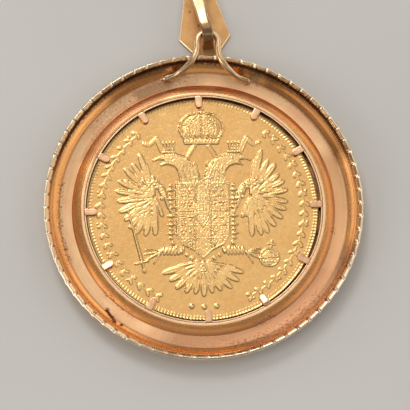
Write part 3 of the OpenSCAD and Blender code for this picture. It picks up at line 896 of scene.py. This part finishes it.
def strap_centre():
    """Side view of the strap's middle line, as (along, height) points."""
    fold, fold_start = (FOLD_Y, FOLD_OUT_R), math.radians(60)
    line = [(-BEND_R, z) for z in np.linspace(0.5, BEND_HEIGHT, 8)]
    line += turned_arc((0, BEND_HEIGHT), BEND_R, math.pi, math.radians(105), 11)
    back = STRAP_BACK + [(fold[0] + FOLD_R * math.cos(fold_start), fold[1] + FOLD_R * math.sin(fold_start))]
    line += [tuple(p) for p in smooth_path([line[-1]] + back, 5)[1:]]
    return line + turned_arc(fold, FOLD_R, fold_start, math.radians(-90), 19)


def strap_plan(along):
    """Middle and half width of the strap, smoothed between its stations."""
    stations, middles, halves = zip(*STRAP_PLAN)
    return float(np.interp(along, stations, middles)), float(np.interp(along, stations, halves))


def bail_strap():
    line = [Vector(p) for p in strap_centre()]
    last = len(line) - 1
    half = STRAP_T / 2
    edge = [(-1, -0.55), (-1, 0.55), (-0.985, 0.85), (-0.94, 1.0), (-0.5, 1.0), (0, 1.0), (0.5, 1.0),
            (0.94, 1.0), (0.985, 0.85), (1, 0.55), (1, -0.55), (0.985, -0.85), (0.94, -1.0), (0, -1.0),
            (-0.94, -1.0), (-0.985, -0.85)]
    points = []
    for i, p in enumerate(line):
        along = (line[min(i + 1, last)] - line[max(i - 1, 0)]).normalized()
        normal = Vector((-along.y, along.x))
        middle, width = strap_plan(p.x)
        if i < 3:
            width += 0.12 * (1 - i / 3) ** 2
        twist = 0.09 * math.exp(-((p.x - 2) / 2.5) ** 2) if p.y > 4 else 0.0
        for side, rise in edge:
            q = p + (half * rise + width * side * twist) * normal
            points.append((middle + width * side, q.x, q.y))
    n = len(edge)
    faces = sleeve(len(line), n) + [tuple(range(n)), tuple(range(last * n, len(line) * n))]
    return leaned(turn_outwards(make_object("bail_strap", points, faces, strap_gold)))


strap = bail_strap()
print("strap", triangles(strap), "triangles")

# %% [markdown]
# ## The coin's relief
# A coin's relief is so low that the eye reads it only by the light on its slopes. Here it rises at
# most a fifth of a millimetre. So the coin is one fine net of points, and each part of the design
# raises the net: a stroke raises a ridge along a path, a feather raises a pointed dome with a groove,
# a bead raises a dot and an area raises a flat with sloping edges.
# The design is the traditional double eagle with crown, shield, collar, sword and orb. Sprigs of
# leaves fill the band around it.

# %% Tools of the die cutter


FAR = 9.0


def along_line(p, a, b):
    """How far along the line from a to b each point lies, from 0 to 1, and how far off it."""
    d = b - a
    t = np.clip(((p - a) @ d) / max(d @ d, 1e-9), 0, 1)
    return t, np.linalg.norm(p - a - t[:, None] * d, axis=1)


def dome(away, half):
    return np.sqrt(np.clip(1 - (away / half) ** 2, 0, 1))


class Relief:
    """Heights in millimetres over points of the coin, raised one form at a time."""

    def __init__(self, points, seed):
        self.points = points
        self.height = np.zeros(len(points))
        self.chased = np.zeros(len(points))
        self.vary = np.random.default_rng(seed).uniform

    def near(self, low, high, margin=0.4):
        """Numbers of the points in and around a box."""
        p = self.points
        return np.nonzero(np.all((p > np.array(low) - margin) & (p < np.array(high) + margin), axis=1))[0]

    def raise_to(self, where, rise, outside, depth=0.04):
        """Raises the net to a form and cuts a fine line around it."""
        line = depth * np.clip(1 - np.abs(outside) / 0.15, 0, 1) * (outside > 0)
        self.height[where] = np.maximum(self.height[where] - line, rise)

    def stroke(self, path, width, height, end_width=None):
        path = np.array(path, float)
        where = self.near(path.min(0), path.max(0))
        p = self.points[where]
        best = np.full(len(p), FAR)
        half = np.full(len(p), width / 2)
        end_width = width if end_width is None else end_width
        for i in range(len(path) - 1):
            t, away = along_line(p, path[i], path[i + 1])
            closer = away < best
            best = np.where(closer, away, best)
            share = (i + t) / (len(path) - 1)
            half = np.where(closer, (width + (end_width - width) * share) / 2, half)
        self.raise_to(where, height * dome(best, half), best - half)

    def strokes(self, rows, side=1):
        """Strokes in turn, each a path and its sizes, mirrored where the side is -1."""
        for path, *sizes in rows:
            self.stroke(on_side(path, side), *sizes)

    def bead(self, middle, radius, height):
        middle = np.array(middle, float)
        where = self.near(middle - radius, middle + radius)
        away = np.linalg.norm(self.points[where] - middle, axis=1)
        self.raise_to(where, height * dome(away, radius), away - radius)

    def feather(self, root, angle, inner, outer, width, height, groove=0.35):
        way = np.array([math.cos(math.radians(angle)), math.sin(math.radians(angle))])
        a, b = np.array(root) + inner * way, np.array(root) + outer * way
        where = self.near(np.minimum(a, b) - width / 2, np.maximum(a, b) + width / 2)
        p = self.points[where] - a
        along = p @ way / (outer - inner)
        side = np.abs(p @ np.array([-way[1], way[0]]))
        shape = np.clip(np.interp(along, [0, 0.15, 0.45, 0.75, 0.92, 1.0],
                                  [0.55, 0.85, 1, 0.95, 0.62, 0.05]), 0.02, None) * width / 2
        inside = (along > 0) & (along < 1)
        rise = height * np.clip(1 - (side / shape) ** 2, 0, 1) ** 0.7
        rise *= 1 - groove * np.exp(-(side / 0.1) ** 2)
        self.raise_to(where, rise * inside, np.where(inside, side - shape, FAR), 0.045)

    def area(self, outline, height, slope=0.16, cut=0.04, chased=0.0):
        """Raises everything inside an outline, with sloping edges and perhaps fine chasing."""
        outline = np.array(outline, float)
        where = self.near(outline.min(0), outline.max(0))
        p = self.points[where]
        inside = np.zeros(len(p), bool)
        best = np.full(len(p), FAR)
        for a, b in zip(np.roll(outline, 1, axis=0), outline):
            best = np.minimum(best, along_line(p, a, b)[1])
            d = b - a
            crosses = (a[1] > p[:, 1]) != (b[1] > p[:, 1])
            x = a[0] + (p[:, 1] - a[1]) * d[0] / (d[1] if abs(d[1]) > 1e-9 else 1e-9)
            inside ^= crosses & (p[:, 0] < x)
        rise = height * np.clip(best / slope, 0, 1) * inside
        self.raise_to(where, rise, np.where(inside, -best, best), cut)
        self.chased[where] = np.maximum(self.chased[where], chased * inside)


def arc(middle, radius, first, last, pieces=12, squeeze=1.0):
    return [(middle[0] + radius * math.cos(math.radians(a)),
             middle[1] + squeeze * radius * math.sin(math.radians(a)))
            for a in np.linspace(first, last, pieces)]


def on_side(path, side):
    """The path as drawn for side 1, and its mirror image for side -1."""
    return [(side * x, y) for x, y in path]


def facing(side, angle):
    return angle if side > 0 else 180 - angle


print("the die cutter's tools: stroke, bead, feather, area")

# %% Wings and tail
WING_ROOT, TAIL_ROOT = (8.2, 2.2), (0.0, -9.4)
WING_REACH = [(-96, 6.9), (-79, 7.4), (-59, 7.2), (-32, 6.8), (-4, 6.5), (23, 6.6), (50, 7.5), (70, 8.5)]
TAIL_REACH = [(-90, 6.0), (-60, 6.2), (-40, 6.9), (-16, 7.4)]


def reach_at(table, angle):
    return float(np.interp(angle, [a for a, _ in table], [r for _, r in table]))


QUILLS = [77, 64, 51, 38, 26, 9, -8, -23, -38, -52, -65, -77, -90]


SHOULDER = [(4.9, -1.2), (5.9, 0.6), (6.4, 2.4), (7.2, 4.0), (8.4, 4.9), (9.4, 4.6)]
COVERTS = [
    # inner and outer reach, width, height
    (1.7, 4.1, 0.72, 0.15), (0.9, 3.1, 0.66, 0.165), (0.3, 2.1, 0.6, 0.18)]


def cut_wings(die):
    for side in (1, -1):
        root = (side * WING_ROOT[0], WING_ROOT[1])
        for k, angle in enumerate(QUILLS):
            angle += die.vary(-1.5, 1.5) - (6 if side < 0 and angle > 30 else 0)
            outer = reach_at(WING_REACH, angle) * die.vary(0.97, 1.03) * (0.9 if k in (1, 3) else 1.0)
            die.feather(root, facing(side, angle), 2.0, outer, 1.08 if k in (1, 3) else 1.24, 0.125, 0.5)
            die.feather(root, facing(side, angle + 6.5), 2.4, outer - die.vary(1.5, 2.1), 0.42, 0.11)
        for row, (inner, outer, width, height) in enumerate(COVERTS):
            for angle in np.linspace(-112, 84, 15 - 2 * row):
                die.feather(root, facing(side, angle + die.vary(-4, 4)), inner,
                            outer * die.vary(0.85, 1.1), width, height * die.vary(0.85, 1.1))
        shoulder = on_side(SHOULDER, side)
        die.stroke(shoulder[:3], 0.4, 0.17, 0.5)
        die.stroke(shoulder[2:], 1.3, 0.15, 0.9)
        for x, y in shoulder[2:]:
            for _ in range(5):
                die.bead((x + die.vary(-0.7, 0.7), y + die.vary(-0.7, 0.7)), die.vary(0.2, 0.34), 0.185)


def cut_tail(die):
    for side in (1, -1):
        for angle in (-16, -30, -45, -60, -75):
            way = facing(side, angle)
            die.feather(TAIL_ROOT, way, 1.0, reach_at(TAIL_REACH, angle) * die.vary(0.94, 1.04), 1.25,
                        0.125, 0.5)
            die.feather(TAIL_ROOT, way + 7 * side, 1.5, 5.0 * die.vary(0.9, 1.1), 0.45, 0.14)
    die.feather(TAIL_ROOT, -90, 1.0, 6.2, 1.3, 0.13, 0.5)
    for row, reach in enumerate((3.9, 2.8)):
        for angle in np.linspace(-170, -10, 13 - 2 * row):
            die.feather(TAIL_ROOT, angle + die.vary(-3, 3), 0.3, reach * die.vary(0.85, 1.1), 0.6,
                        0.155 + 0.015 * row, 0.3)


print("wings and tail are cut as fans of feathers")

# %% Heads, necks and crowns
HEAD = [(0.3, 4.0), (0.35, 6.2), (1.0, 7.8), (2.4, 9.2), (4.3, 9.9), (5.8, 9.8), (7.1, 9.5), (8.4, 8.7),
        (7.2, 8.8), (6.5, 8.7), (7.1, 7.9), (5.8, 7.95), (4.8, 7.6), (4.1, 6.7), (3.8, 5.6), (4.0, 4.0)]
RIBBON = [(1.2, 11.4), (2.0, 10.1), (2.6, 9.0)]
LONG_RIBBON = [(6.7, 10.3), (7.7, 12.7), (9.0, 11.5), (9.9, 11.9)]
BROW_AND_BEAK = [
    # path, width, height and, where it tapers, the width at its end
    ([(2.6, 9.3), (4.4, 9.8), (6.0, 9.7), (7.2, 9.35), (8.3, 8.75)], 0.3, 0.17, 0.2),
    ([(5.8, 8.3), (7.0, 7.95)], 0.26, 0.15, 0.2),
    ([(4.2, 8.0), (5.0, 8.6), (6.4, 8.75)], 0.22, 0.16)]
SMALL_CROWN = [([(4.6, 10.25), (6.6, 10.25)], 0.3, 0.15), ([(4.7, 10.8), (6.5, 10.8)], 0.16, 0.14)]


def cut_heads(die):
    for side in (1, -1):
        die.strokes([(RIBBON, 0.8, 0.09), (RIBBON, 0.2, 0.13)], side)
        die.area(on_side(HEAD, side), 0.12, 0.3, 0.05, 0.5)
        die.bead((side * 5.2, 9.1), 0.27, 0.17)
        die.strokes(BROW_AND_BEAK, side)
        for row in range(7):
            for k in range(4):
                x = 0.9 + 0.8 * k + 0.1 * row * (row < 5) + die.vary(-0.1, 0.1)
                y = 4.1 + 0.62 * row + die.vary(-0.1, 0.1) - 0.3 * abs(k - 1)
                die.feather((side * x, y), 90 + side * die.vary(-35, 0), 0, 0.95, 0.34, 0.165, 0.0)
        for x in (4.7, 5.3, 5.9, 6.5):
            die.strokes([([(5.6 + (x - 5.6) * 0.7, 10.4), (x, 11.7)], 0.3, 0.14, 0.2)], side)
            die.bead((side * x, 11.9), 0.2, 0.16)
        die.strokes(SMALL_CROWN + [(LONG_RIBBON, 0.95, 0.08, 0.6)], side)
        for way in (1, -1):
            die.stroke([(x + 0.3 * way, y + 0.1 * way) for x, y in on_side(LONG_RIBBON, side)], 0.15, 0.13)


CROWN_ARCHES = [
    ([(3.0, 12.8), (3.75, 14.2), (3.5, 15.8), (2.3, 17.0), (0.6, 17.3)], 0.34, 0.17, 0.26),
    ([(1.7, 12.9), (2.3, 14.4), (1.8, 15.9), (0.7, 17.0)], 0.26, 0.16)]
CROWN_PEARLS = [(3.4, 13.3), (3.7, 14.1), (3.7, 14.9), (3.45, 15.7), (2.9, 16.4), (2.2, 16.95)]
CROWN_CROSS = [([(0, 17.5), (0, 18.3)], 0.2, 0.14), ([(-0.4, 17.95), (0.4, 17.95)], 0.2, 0.14)]


def cut_great_crown(die):
    die.area([(-3.0, 11.6), (3.0, 11.6), (3.25, 12.7), (-3.25, 12.7)], 0.12, 0.15)
    for k in range(11):
        die.bead((-2.7 + 0.54 * k, 12.15), 0.2, 0.17)
    die.area(arc((0, 14.3), 3.2, -30, 210, 40, 0.9), 0.09, 0.5, 0.05, 1.0)
    for side in (1, -1):
        die.strokes(CROWN_ARCHES, side)
        for x, y in CROWN_PEARLS:
            die.bead((side * x, y), 0.2, 0.185)
        for _ in range(16):
            die.bead((side * (0.4 + die.vary(0, 2.5)), 13.2 + die.vary(0, 3.0)), 0.17, 0.15)
        die.strokes([([(0.7, 12.8), (1.1, 13.7), (1.5, 12.8)], 0.2, 0.16)], side)
    die.stroke([(0, 12.8), (0, 17.0)], 0.36, 0.16, 0.28)
    die.bead((0, 17.4), 0.36, 0.17)
    die.strokes(CROWN_CROSS)


print("two heads and three crowns")

# %% Shield and collar
SHIELD = [(-4.4, 4.6), (4.4, 4.6), (4.4, -4.6), (3.4, -6.3), (1.4, -7.3), (0, -8.7), (-1.4, -7.3),
          (-3.4, -6.3), (-4.4, -4.6)]


def small_charge(die, x, y, kind, size):
    """A small heraldic figure: a cross, bars, a lozenge, a fleur or three dots."""
    if kind == 0:
        die.stroke([(x, y - size), (x, y + size)], 0.3, 0.17)
        die.stroke([(x - size * 0.7, y), (x + size * 0.7, y)], 0.3, 0.17)
    elif kind == 1:
        for k in (-1, 0, 1):
            die.stroke([(x - size * 0.8, y + 0.42 * k), (x + size * 0.8, y + 0.42 * k)], 0.2, 0.165)
    elif kind == 2:
        die.area([(x, y + size), (x + size * 0.7, y), (x, y - size), (x - size * 0.7, y)], 0.165, 0.2)
    elif kind == 3:
        die.stroke([(x - size * 0.6, y + size * 0.4), (x, y - size * 0.2), (x + size * 0.6, y + size * 0.4)],
                   0.28, 0.17)
        die.stroke([(x, y - size * 0.8), (x, y + size)], 0.34, 0.17, 0.18)
    else:
        for dx, dy in ((-0.35, 0.25), (0.35, 0.25), (0, -0.4)):
            die.bead((x + dx * size / 0.6, y + dy * size / 0.6), 0.24, 0.17)


INNER_SHIELD = [(-1.05, 2.9), (1.05, 2.9), (1.05, -1.6), (0, -3.2), (-1.05, -1.6)]
SHIELD_ROWS = (3.35, 1.0, -1.6, -4.05, -6.1)
SHIELD_LINES = [([(-reach, y), (reach, y)], 0.2, 0.16)
                for y, reach in ((2.3, 4.0), (-0.3, 4.0), (-2.9, 4.0), (-5.2, 3.6))]
SHIELD_LINES += [([(x, 4.3), (x, -6.8)], 0.2, 0.165) for x in (-1.35, 1.35)]
SHIELD_MIDDLE = [([(-0.75, y), (0.75, y)], 0.24, 0.19) for y in (2.0, 0.9, -0.2, -1.3)]
SHIELD_MIDDLE += [([(0, 2.6), (0, -2.6)], 0.2, 0.19),
                  ([(-1.4, 5.0), (-1.2, 5.7), (0, 5.2), (1.2, 5.7), (1.4, 5.0)], 0.3, 0.17),
                  ([(-1.5, 4.9), (1.5, 4.9)], 0.36, 0.17)]


def cut_shield(die):
    die.area(SHIELD, 0.09, 0.2, 0.05, 1.0)
    die.stroke(SHIELD + SHIELD[:1], 0.26, 0.18)
    for _ in range(70):
        die.bead((die.vary(-3.6, 3.6), die.vary(-6.2, 4.2)), die.vary(0.14, 0.24), 0.13)
    die.strokes(SHIELD_LINES)
    kind = 0
    for y in SHIELD_ROWS:
        for x in (-2.7, -2.0, 2.0, 2.7) if y < -5 else (-3.3, -2.1, 2.1, 3.3):
            if y > -5 or abs(x) < 2.5:
                small_charge(die, x + die.vary(-0.06, 0.06), y, kind % 5, 0.5)
            kind += 1 + int(die.vary(0, 3))
    die.area(INNER_SHIELD, 0.15, 0.15)
    die.stroke(INNER_SHIELD + INNER_SHIELD[:1], 0.22, 0.2)
    die.strokes(SHIELD_MIDDLE)


def cut_collar(die):
    links = [(5.35, 4.2 - 0.78 * k) for k in range(13)]
    links += [(5.1, -6.1), (4.5, -6.9), (3.7, -7.6), (2.8, -8.2), (1.9, -8.8), (1.0, -9.3)]
    for k, place in enumerate(links):
        for x, y in on_side([place], 1) + on_side([place], -1):
            die.bead((x, y), 0.36 if k % 2 else 0.27, 0.17)
            if k % 2 and k < 12:
                die.stroke([(x - 0.6, y), (x + 0.6, y)], 0.2, 0.15)
    die.bead((0, -9.7), 0.5, 0.18)
    die.stroke([(-0.5, -10.3), (0, -9.9), (0.5, -10.3), (0.4, -11.0), (-0.4, -11.0)], 0.3, 0.18)


print("shield in five rows and a collar of links")

# %% Legs, sword, orb, sprigs and denticles


SPRIG_R = 17.35
CLAW_TIPS = ((9.7, -7.2), (9.9, -8.0), (9.6, -9.0), (8.4, -9.6))


def cut_legs(die):
    for side in (1, -1):
        die.stroke(on_side([(3.6, -7.2), (5.6, -7.2), (7.4, -7.6)], side), 1.2, 0.12, 0.7)
        for k in range(6):
            die.feather((side * (3.6 + 0.6 * k), -6.9), -90 + 30 * side, 0, 1.5, 0.5, 0.14)
        for tip in CLAW_TIPS:
            middle = (0.5 * (7.3 + tip[0]), 0.5 * (tip[1] - 7.5))
            die.stroke(on_side([(7.3, -7.7), middle, tip], side), 0.5, 0.15, 0.22)


def cut_sword_and_orb(die):
    hilt = np.array([-10.4, -9.4])
    way = np.array(around(104, 1.0))
    side = np.array([-way[1], way[0]])
    die.strokes([
        ([hilt, hilt + 9.0 * way, hilt + 10.5 * way], 0.62, 0.12, 0.1),
        ([hilt + 0.5 * way, hilt + 9.0 * way], 0.14, 0.15),
        ([hilt - 1.1 * side, hilt + 1.1 * side], 0.36, 0.16), ([hilt, hilt - 1.3 * way], 0.34, 0.15)])
    die.bead(hilt - 1.5 * way, 0.4, 0.17)
    x, y = orb = (11.2, -8.75)
    die.bead(orb, 1.62, 0.13)
    die.strokes([
        (arc(orb, 1.55, 0, 360, 40), 0.28, 0.16), ([(x - 1.4, y - 0.1), (x + 1.4, y + 0.1)], 0.34, 0.18),
        (arc(orb, 0.9, 10, 170), 0.22, 0.17)])
    for k in range(5):
        die.bead((x - 1.0 + 0.5 * k, y - 0.75 + 0.05 * (k % 2)), 0.2, 0.175)
    die.strokes([([(11.5, -7.0), (11.7, -5.8)], 0.3, 0.14), ([(11.1, -6.35), (12.1, -6.5)], 0.28, 0.14)])


def cut_sprigs(die):
    """Two long sprigs of leaves in the outer band, open at the top, tied at the bottom."""
    for side in (-1, 1):
        angles = np.arange(38, 158, 6.0)
        die.stroke([around(90 + side * angle, SPRIG_R) for angle in angles], 0.2, 0.07)
        for i, angle in enumerate(angles):
            way = 90 + side * angle
            place = around(way, SPRIG_R)
            for lean in (52, 128):
                die.feather(place, way + side * (lean + die.vary(-8, 8)), 0.1,
                            1.15 * die.vary(0.9, 1.15), 0.62, 0.10)
            if i % 3 == 1:
                die.bead((place[0] * 1.035, place[1] * 1.035), 0.2, 0.11)
    for angle in (-97, -90, -83):
        die.bead(around(angle, SPRIG_R), 0.45, 0.11)


DENTICLES, DENTICLE_BAND, RIM_FROM_R = 216, (18.88, 19.55), 19.42


def cut_edge(die):
    radius = np.hypot(die.points[:, 0], die.points[:, 1])
    angle = np.arctan2(die.points[:, 1], die.points[:, 0])
    tooth = np.clip(0.5 + 1.4 * np.cos(angle * DENTICLES), 0, 1)
    low, high = DENTICLE_BAND
    rise = 0.05 * tooth * (np.clip((radius - low) / 0.1, 0, 1) * np.clip((high - radius) / 0.1, 0, 1))
    rim = 0.10 * np.clip((radius - RIM_FROM_R) / 0.14, 0, 1)
    die.height = np.maximum(np.maximum(die.height, rise), rim)


print("legs, sword, orb, sprigs and", DENTICLES, "denticles")

# %% [markdown]
# ## The coin as one closed net
# A square net is bent into a disc, so that its rows end on a clean circle without a pole in the
# middle. Its heights come from the die. Two turned edges close it: the rim around the relief and
# the plain side that lies down, which has only a raised edge.
# The metal is struck yellow gold, satin from wear. Its colour is deeper in the corners of the
# relief, where nothing rubs, so the height of the net is stored for the material as well.

# %% Net of points
NET, NET_R = 298, 19.68


def disc_net(n):
    """Points of a square net bent onto the unit disc, row by row."""
    line = np.linspace(-1, 1, n)
    a, b = np.meshgrid(line, line)
    wide = np.abs(a) > np.abs(b)
    with np.errstate(divide="ignore", invalid="ignore"):
        turn = np.where(wide, math.pi / 4 * b / a, math.pi / 2 - math.pi / 4 * a / b)
    turn = np.nan_to_num(turn)
    reach = np.where(wide, a, b)
    return np.stack([reach * np.cos(turn), reach * np.sin(turn)], axis=-1).reshape(-1, 2)


def cut_die(points):
    die = Relief(points, seed=11)
    for cut in (cut_sprigs, cut_tail, cut_legs, cut_wings, cut_heads, cut_great_crown, cut_shield,
                cut_collar, cut_sword_and_orb, cut_edge):
        cut(die)
    return die.height, die.chased


flat_net = disc_net(NET) * NET_R
die_height, die_chased = cut_die(flat_net)
print("the die's deepest cut is", round(float(die_height.max()), 3), "mm over", len(die_height), "points")

# %% Coin material


def struck_gold():
    material, tree, shader, place = new_material("struck_gold")
    height, chased = (add(tree, "ShaderNodeAttribute", attribute_name=name).outputs["Fac"]
                      for name in ("relief", "chased"))
    cloudy = noise(tree, place, 0.22, 4.0, 0.55)
    grain = noise(tree, place, 1.7, 6.0, 0.62)
    colour = ramp(tree, cloudy, [(0.3, screen_colour(232, 182, 116)), (0.7, screen_colour(241, 196, 130))])
    low = ramp(tree, height, [(0.0, grey(1.0)), (0.035, grey(0.0))])
    colour = tinted(tree, colour, low, 0.3, (216, 166, 100))
    colour = tinted(tree, colour, fade_in(tree, height, 0.06, 0.17), 0.5, (255, 222, 158))
    colour = dimmed(tree, colour, weighted(tree, 0.8, (grain, 0.4)))
    # Painted shade: the coin's outer edge, in the gap by the strip, is darkened.
    away = vectors(tree, "DISTANCE", place, (*COIN_SHIFT, 0.9))
    gap_shade = fade_in(tree, maths(tree, "SUBTRACT", away, 19.0), 0.6, 0.74)
    colour = tinted(tree, colour, gap_shade, 0.85, (90, 56, 28))
    cells = add(tree, "ShaderNodeTexVoronoi", {"Vector": place, "Scale": 1.7}, feature="DISTANCE_TO_EDGE")
    upright = add(tree, "ShaderNodeTexWave", {"Vector": place, "Scale": 0.62, "Distortion": 1.5,
                                              "Detail": 2.0, "Detail Scale": 1.2}, bands_direction="X")
    chasing = weighted(tree, maths(tree, "MINIMUM", cells.outputs["Distance"], 0.12),
                       (upright.outputs["Fac"], 0.06))
    chasing = maths(tree, "MULTIPLY", chasing, maths(tree, "MULTIPLY", chased, 2.2))
    relief = maths(tree, "ADD", grain, chasing)
    finish_shader(tree, shader, colour, weighted(tree, 0.15, (grain, 0.14)), relief,
                  depth_mm=0.055, strength=0.8)
    return material


coin_gold = struck_gold()
print("struck gold has", len(coin_gold.node_tree.nodes), "nodes")

# %% Coin mesh
COIN_EDGE = [
    # radius and height, from the relief's rim around the edge to the middle of the other side
    (19.73, 1.085), (COIN_R, 1.05), (COIN_R, 0.36), (19.70, COIN_BOTTOM), (19.15, COIN_BOTTOM),
    (19.1, 0.38), (19.0, 0.40), (12.0, 0.40), (5.0, 0.40)]
EDGE_RELIEF = 0.15


def coin_mesh():
    n = NET
    points = [(x, y, FIELD_TOP + h) for (x, y), h in zip(flat_net, die_height)]
    faces = [(i * n + k, i * n + k + 1, (i + 1) * n + k + 1, (i + 1) * n + k)
             for i in range(n - 1) for k in range(n - 1)]
    border = (list(range(n)) + [i * n + n - 1 for i in range(1, n)]
              + [(n - 1) * n + k for k in range(n - 2, -1, -1)] + [i * n for i in range(n - 2, 0, -1)])
    way = flat_net[border] / NET_R
    around_edge = len(border)
    last = border
    for r, z in COIN_EDGE:
        next_ring = list(range(len(points), len(points) + around_edge))
        points += [(r * x, r * y, z) for x, y in way]
        faces += [(last[k], last[(k + 1) % around_edge], next_ring[(k + 1) % around_edge], next_ring[k])
                  for k in range(around_edge)]
        last = next_ring
    faces.append(tuple(last))
    thing = make_object("coin_struck", points, faces, coin_gold)
    rest = len(points) - len(flat_net)
    for name, values, beyond in (("relief", die_height, EDGE_RELIEF), ("chased", die_chased, 0.0)):
        attribute = thing.data.attributes.new(name, "FLOAT", "POINT")
        attribute.data.foreach_set("value", np.append(values, np.full(rest, beyond)).astype(np.float32))
    shift = Matrix.Translation((COIN_SHIFT[0] * MM, COIN_SHIFT[1] * MM, 0))
    thing.data.transform(shift @ Matrix.Rotation(COIN_TURN, 4, "Z"))
    return turn_outwards(thing)


coin = coin_mesh()
print("coin", triangles(coin), "triangles")

# %% [markdown]
# ## Floor and light
# A plain pale floor lies under the pendant. The light is soft and comes mostly from above, as
# from a light tent, with lower panels around it and one small brighter panel behind the bail. Metal
# shows the panels as broad highlights, and the darker parts of the room as brown; the brown in the
# ring's corners is also painted shade in its colours.

# %% Floor and lights
WARM_WHITE = (1.0, 0.97, 0.93, 1.0)
FLOOR_HALF = 900


def add_floor():
    material, tree, shader, place = new_material("pale_floor")
    shader.inputs["Metallic"].default_value = 0.0
    cloudy = noise(tree, place, 0.01, 3.0)
    colour = ramp(tree, cloudy, [(0.3, screen_colour(214, 212, 208)), (0.7, screen_colour(222, 220, 216))])
    finish_shader(tree, shader, colour, 0.8)
    corners = [(x * FLOOR_HALF, y * FLOOR_HALF, 0) for x, y in ((-1, -1), (1, -1), (1, 1), (-1, 1))]
    floor = make_object("floor", corners, [(0, 1, 2, 3)], material, smooth=False)
    return floor


def add_panel(name, place, target_height, size, power):
    """A soft box of light that faces a place above the ring's centre; sizes in metres, power in watts."""
    data = bpy.data.lights.new(name, "AREA")
    data.shape, data.size, data.size_y = "RECTANGLE", size[0], size[1]
    data.energy, data.color = power, WARM_WHITE[:3]
    lamp = bpy.data.objects.new(name, data)
    bpy.context.scene.collection.objects.link(lamp)
    lamp.location = place
    toward = Vector((0, 0, target_height)) - Vector(place)
    lamp.rotation_euler = toward.to_track_quat("-Z", "Y").to_euler()
    return lamp


floor = add_floor()
world = bpy.data.worlds.new("room")
world.use_nodes = True
background = world.node_tree.nodes["Background"].inputs
background["Color"].default_value = WARM_WHITE
background["Strength"].default_value = 0.22
bpy.context.scene.world = world
bpy.context.scene.view_settings.view_transform = "Standard"
for name, place, target_height, size, power in (
        ("panel_above", (0.0, 0.26, 0.97), 0, (0.9, 0.7), 1.45),
        ("panel_key", (-0.24, 0.62, 0.75), 0, (0.34, 0.3), 2.1),
        ("panel_left", (-1.0, 0.0, 0.22), 0.1, (1.2, 0.44), 1.9),
        ("panel_right", (1.0, 0.12, 0.45), 0.1, (1.2, 0.9), 2.5),
        ("panel_low", (0.0, -0.62, 0.82), 0, (0.9, 0.3), 0.4),
        ("panel_back", (-0.52, 0.84, 0.42), 0, (0.6, 0.45), 1.1),
        ("panel_front", (-0.78, -0.46, 0.5), 0, (0.6, 0.45), 1.8),
        ("panel_back", (0.52, 0.84, 0.42), 0, (0.6, 0.45), 1.1),
        ("panel_front", (0.78, -0.46, 0.5), 0, (0.6, 0.45), 0.5)):
    add_panel(name, place, target_height, size, power)
print("one floor, nine panels and a grey room")

# %% [markdown]
# ## Bodies
# Each dressed piece rides on the body that carries it, and the solid whose form it repeats is hidden.

# %% Bodies and solids; slot names are listed but not given
for piece, slot in ((ring, "rose_gold"), (wire, "rose_gold"), (solder_left, "rose_gold"),
                    (solder_right, "rose_gold"), (claws, "light_gold"), (claw_strip, "light_gold"),
                    (coin, "coin_gold")):
    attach(piece, "pendant")
for piece in (plate, strap):
    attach(piece, "bail")
for piece in (ring, wire, solder_left, solder_right):
    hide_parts("frame")
for piece in (claws, claw_strip):
    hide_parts("claw_ring")
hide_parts("coin")
for piece in (plate, strap):
    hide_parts("bail")
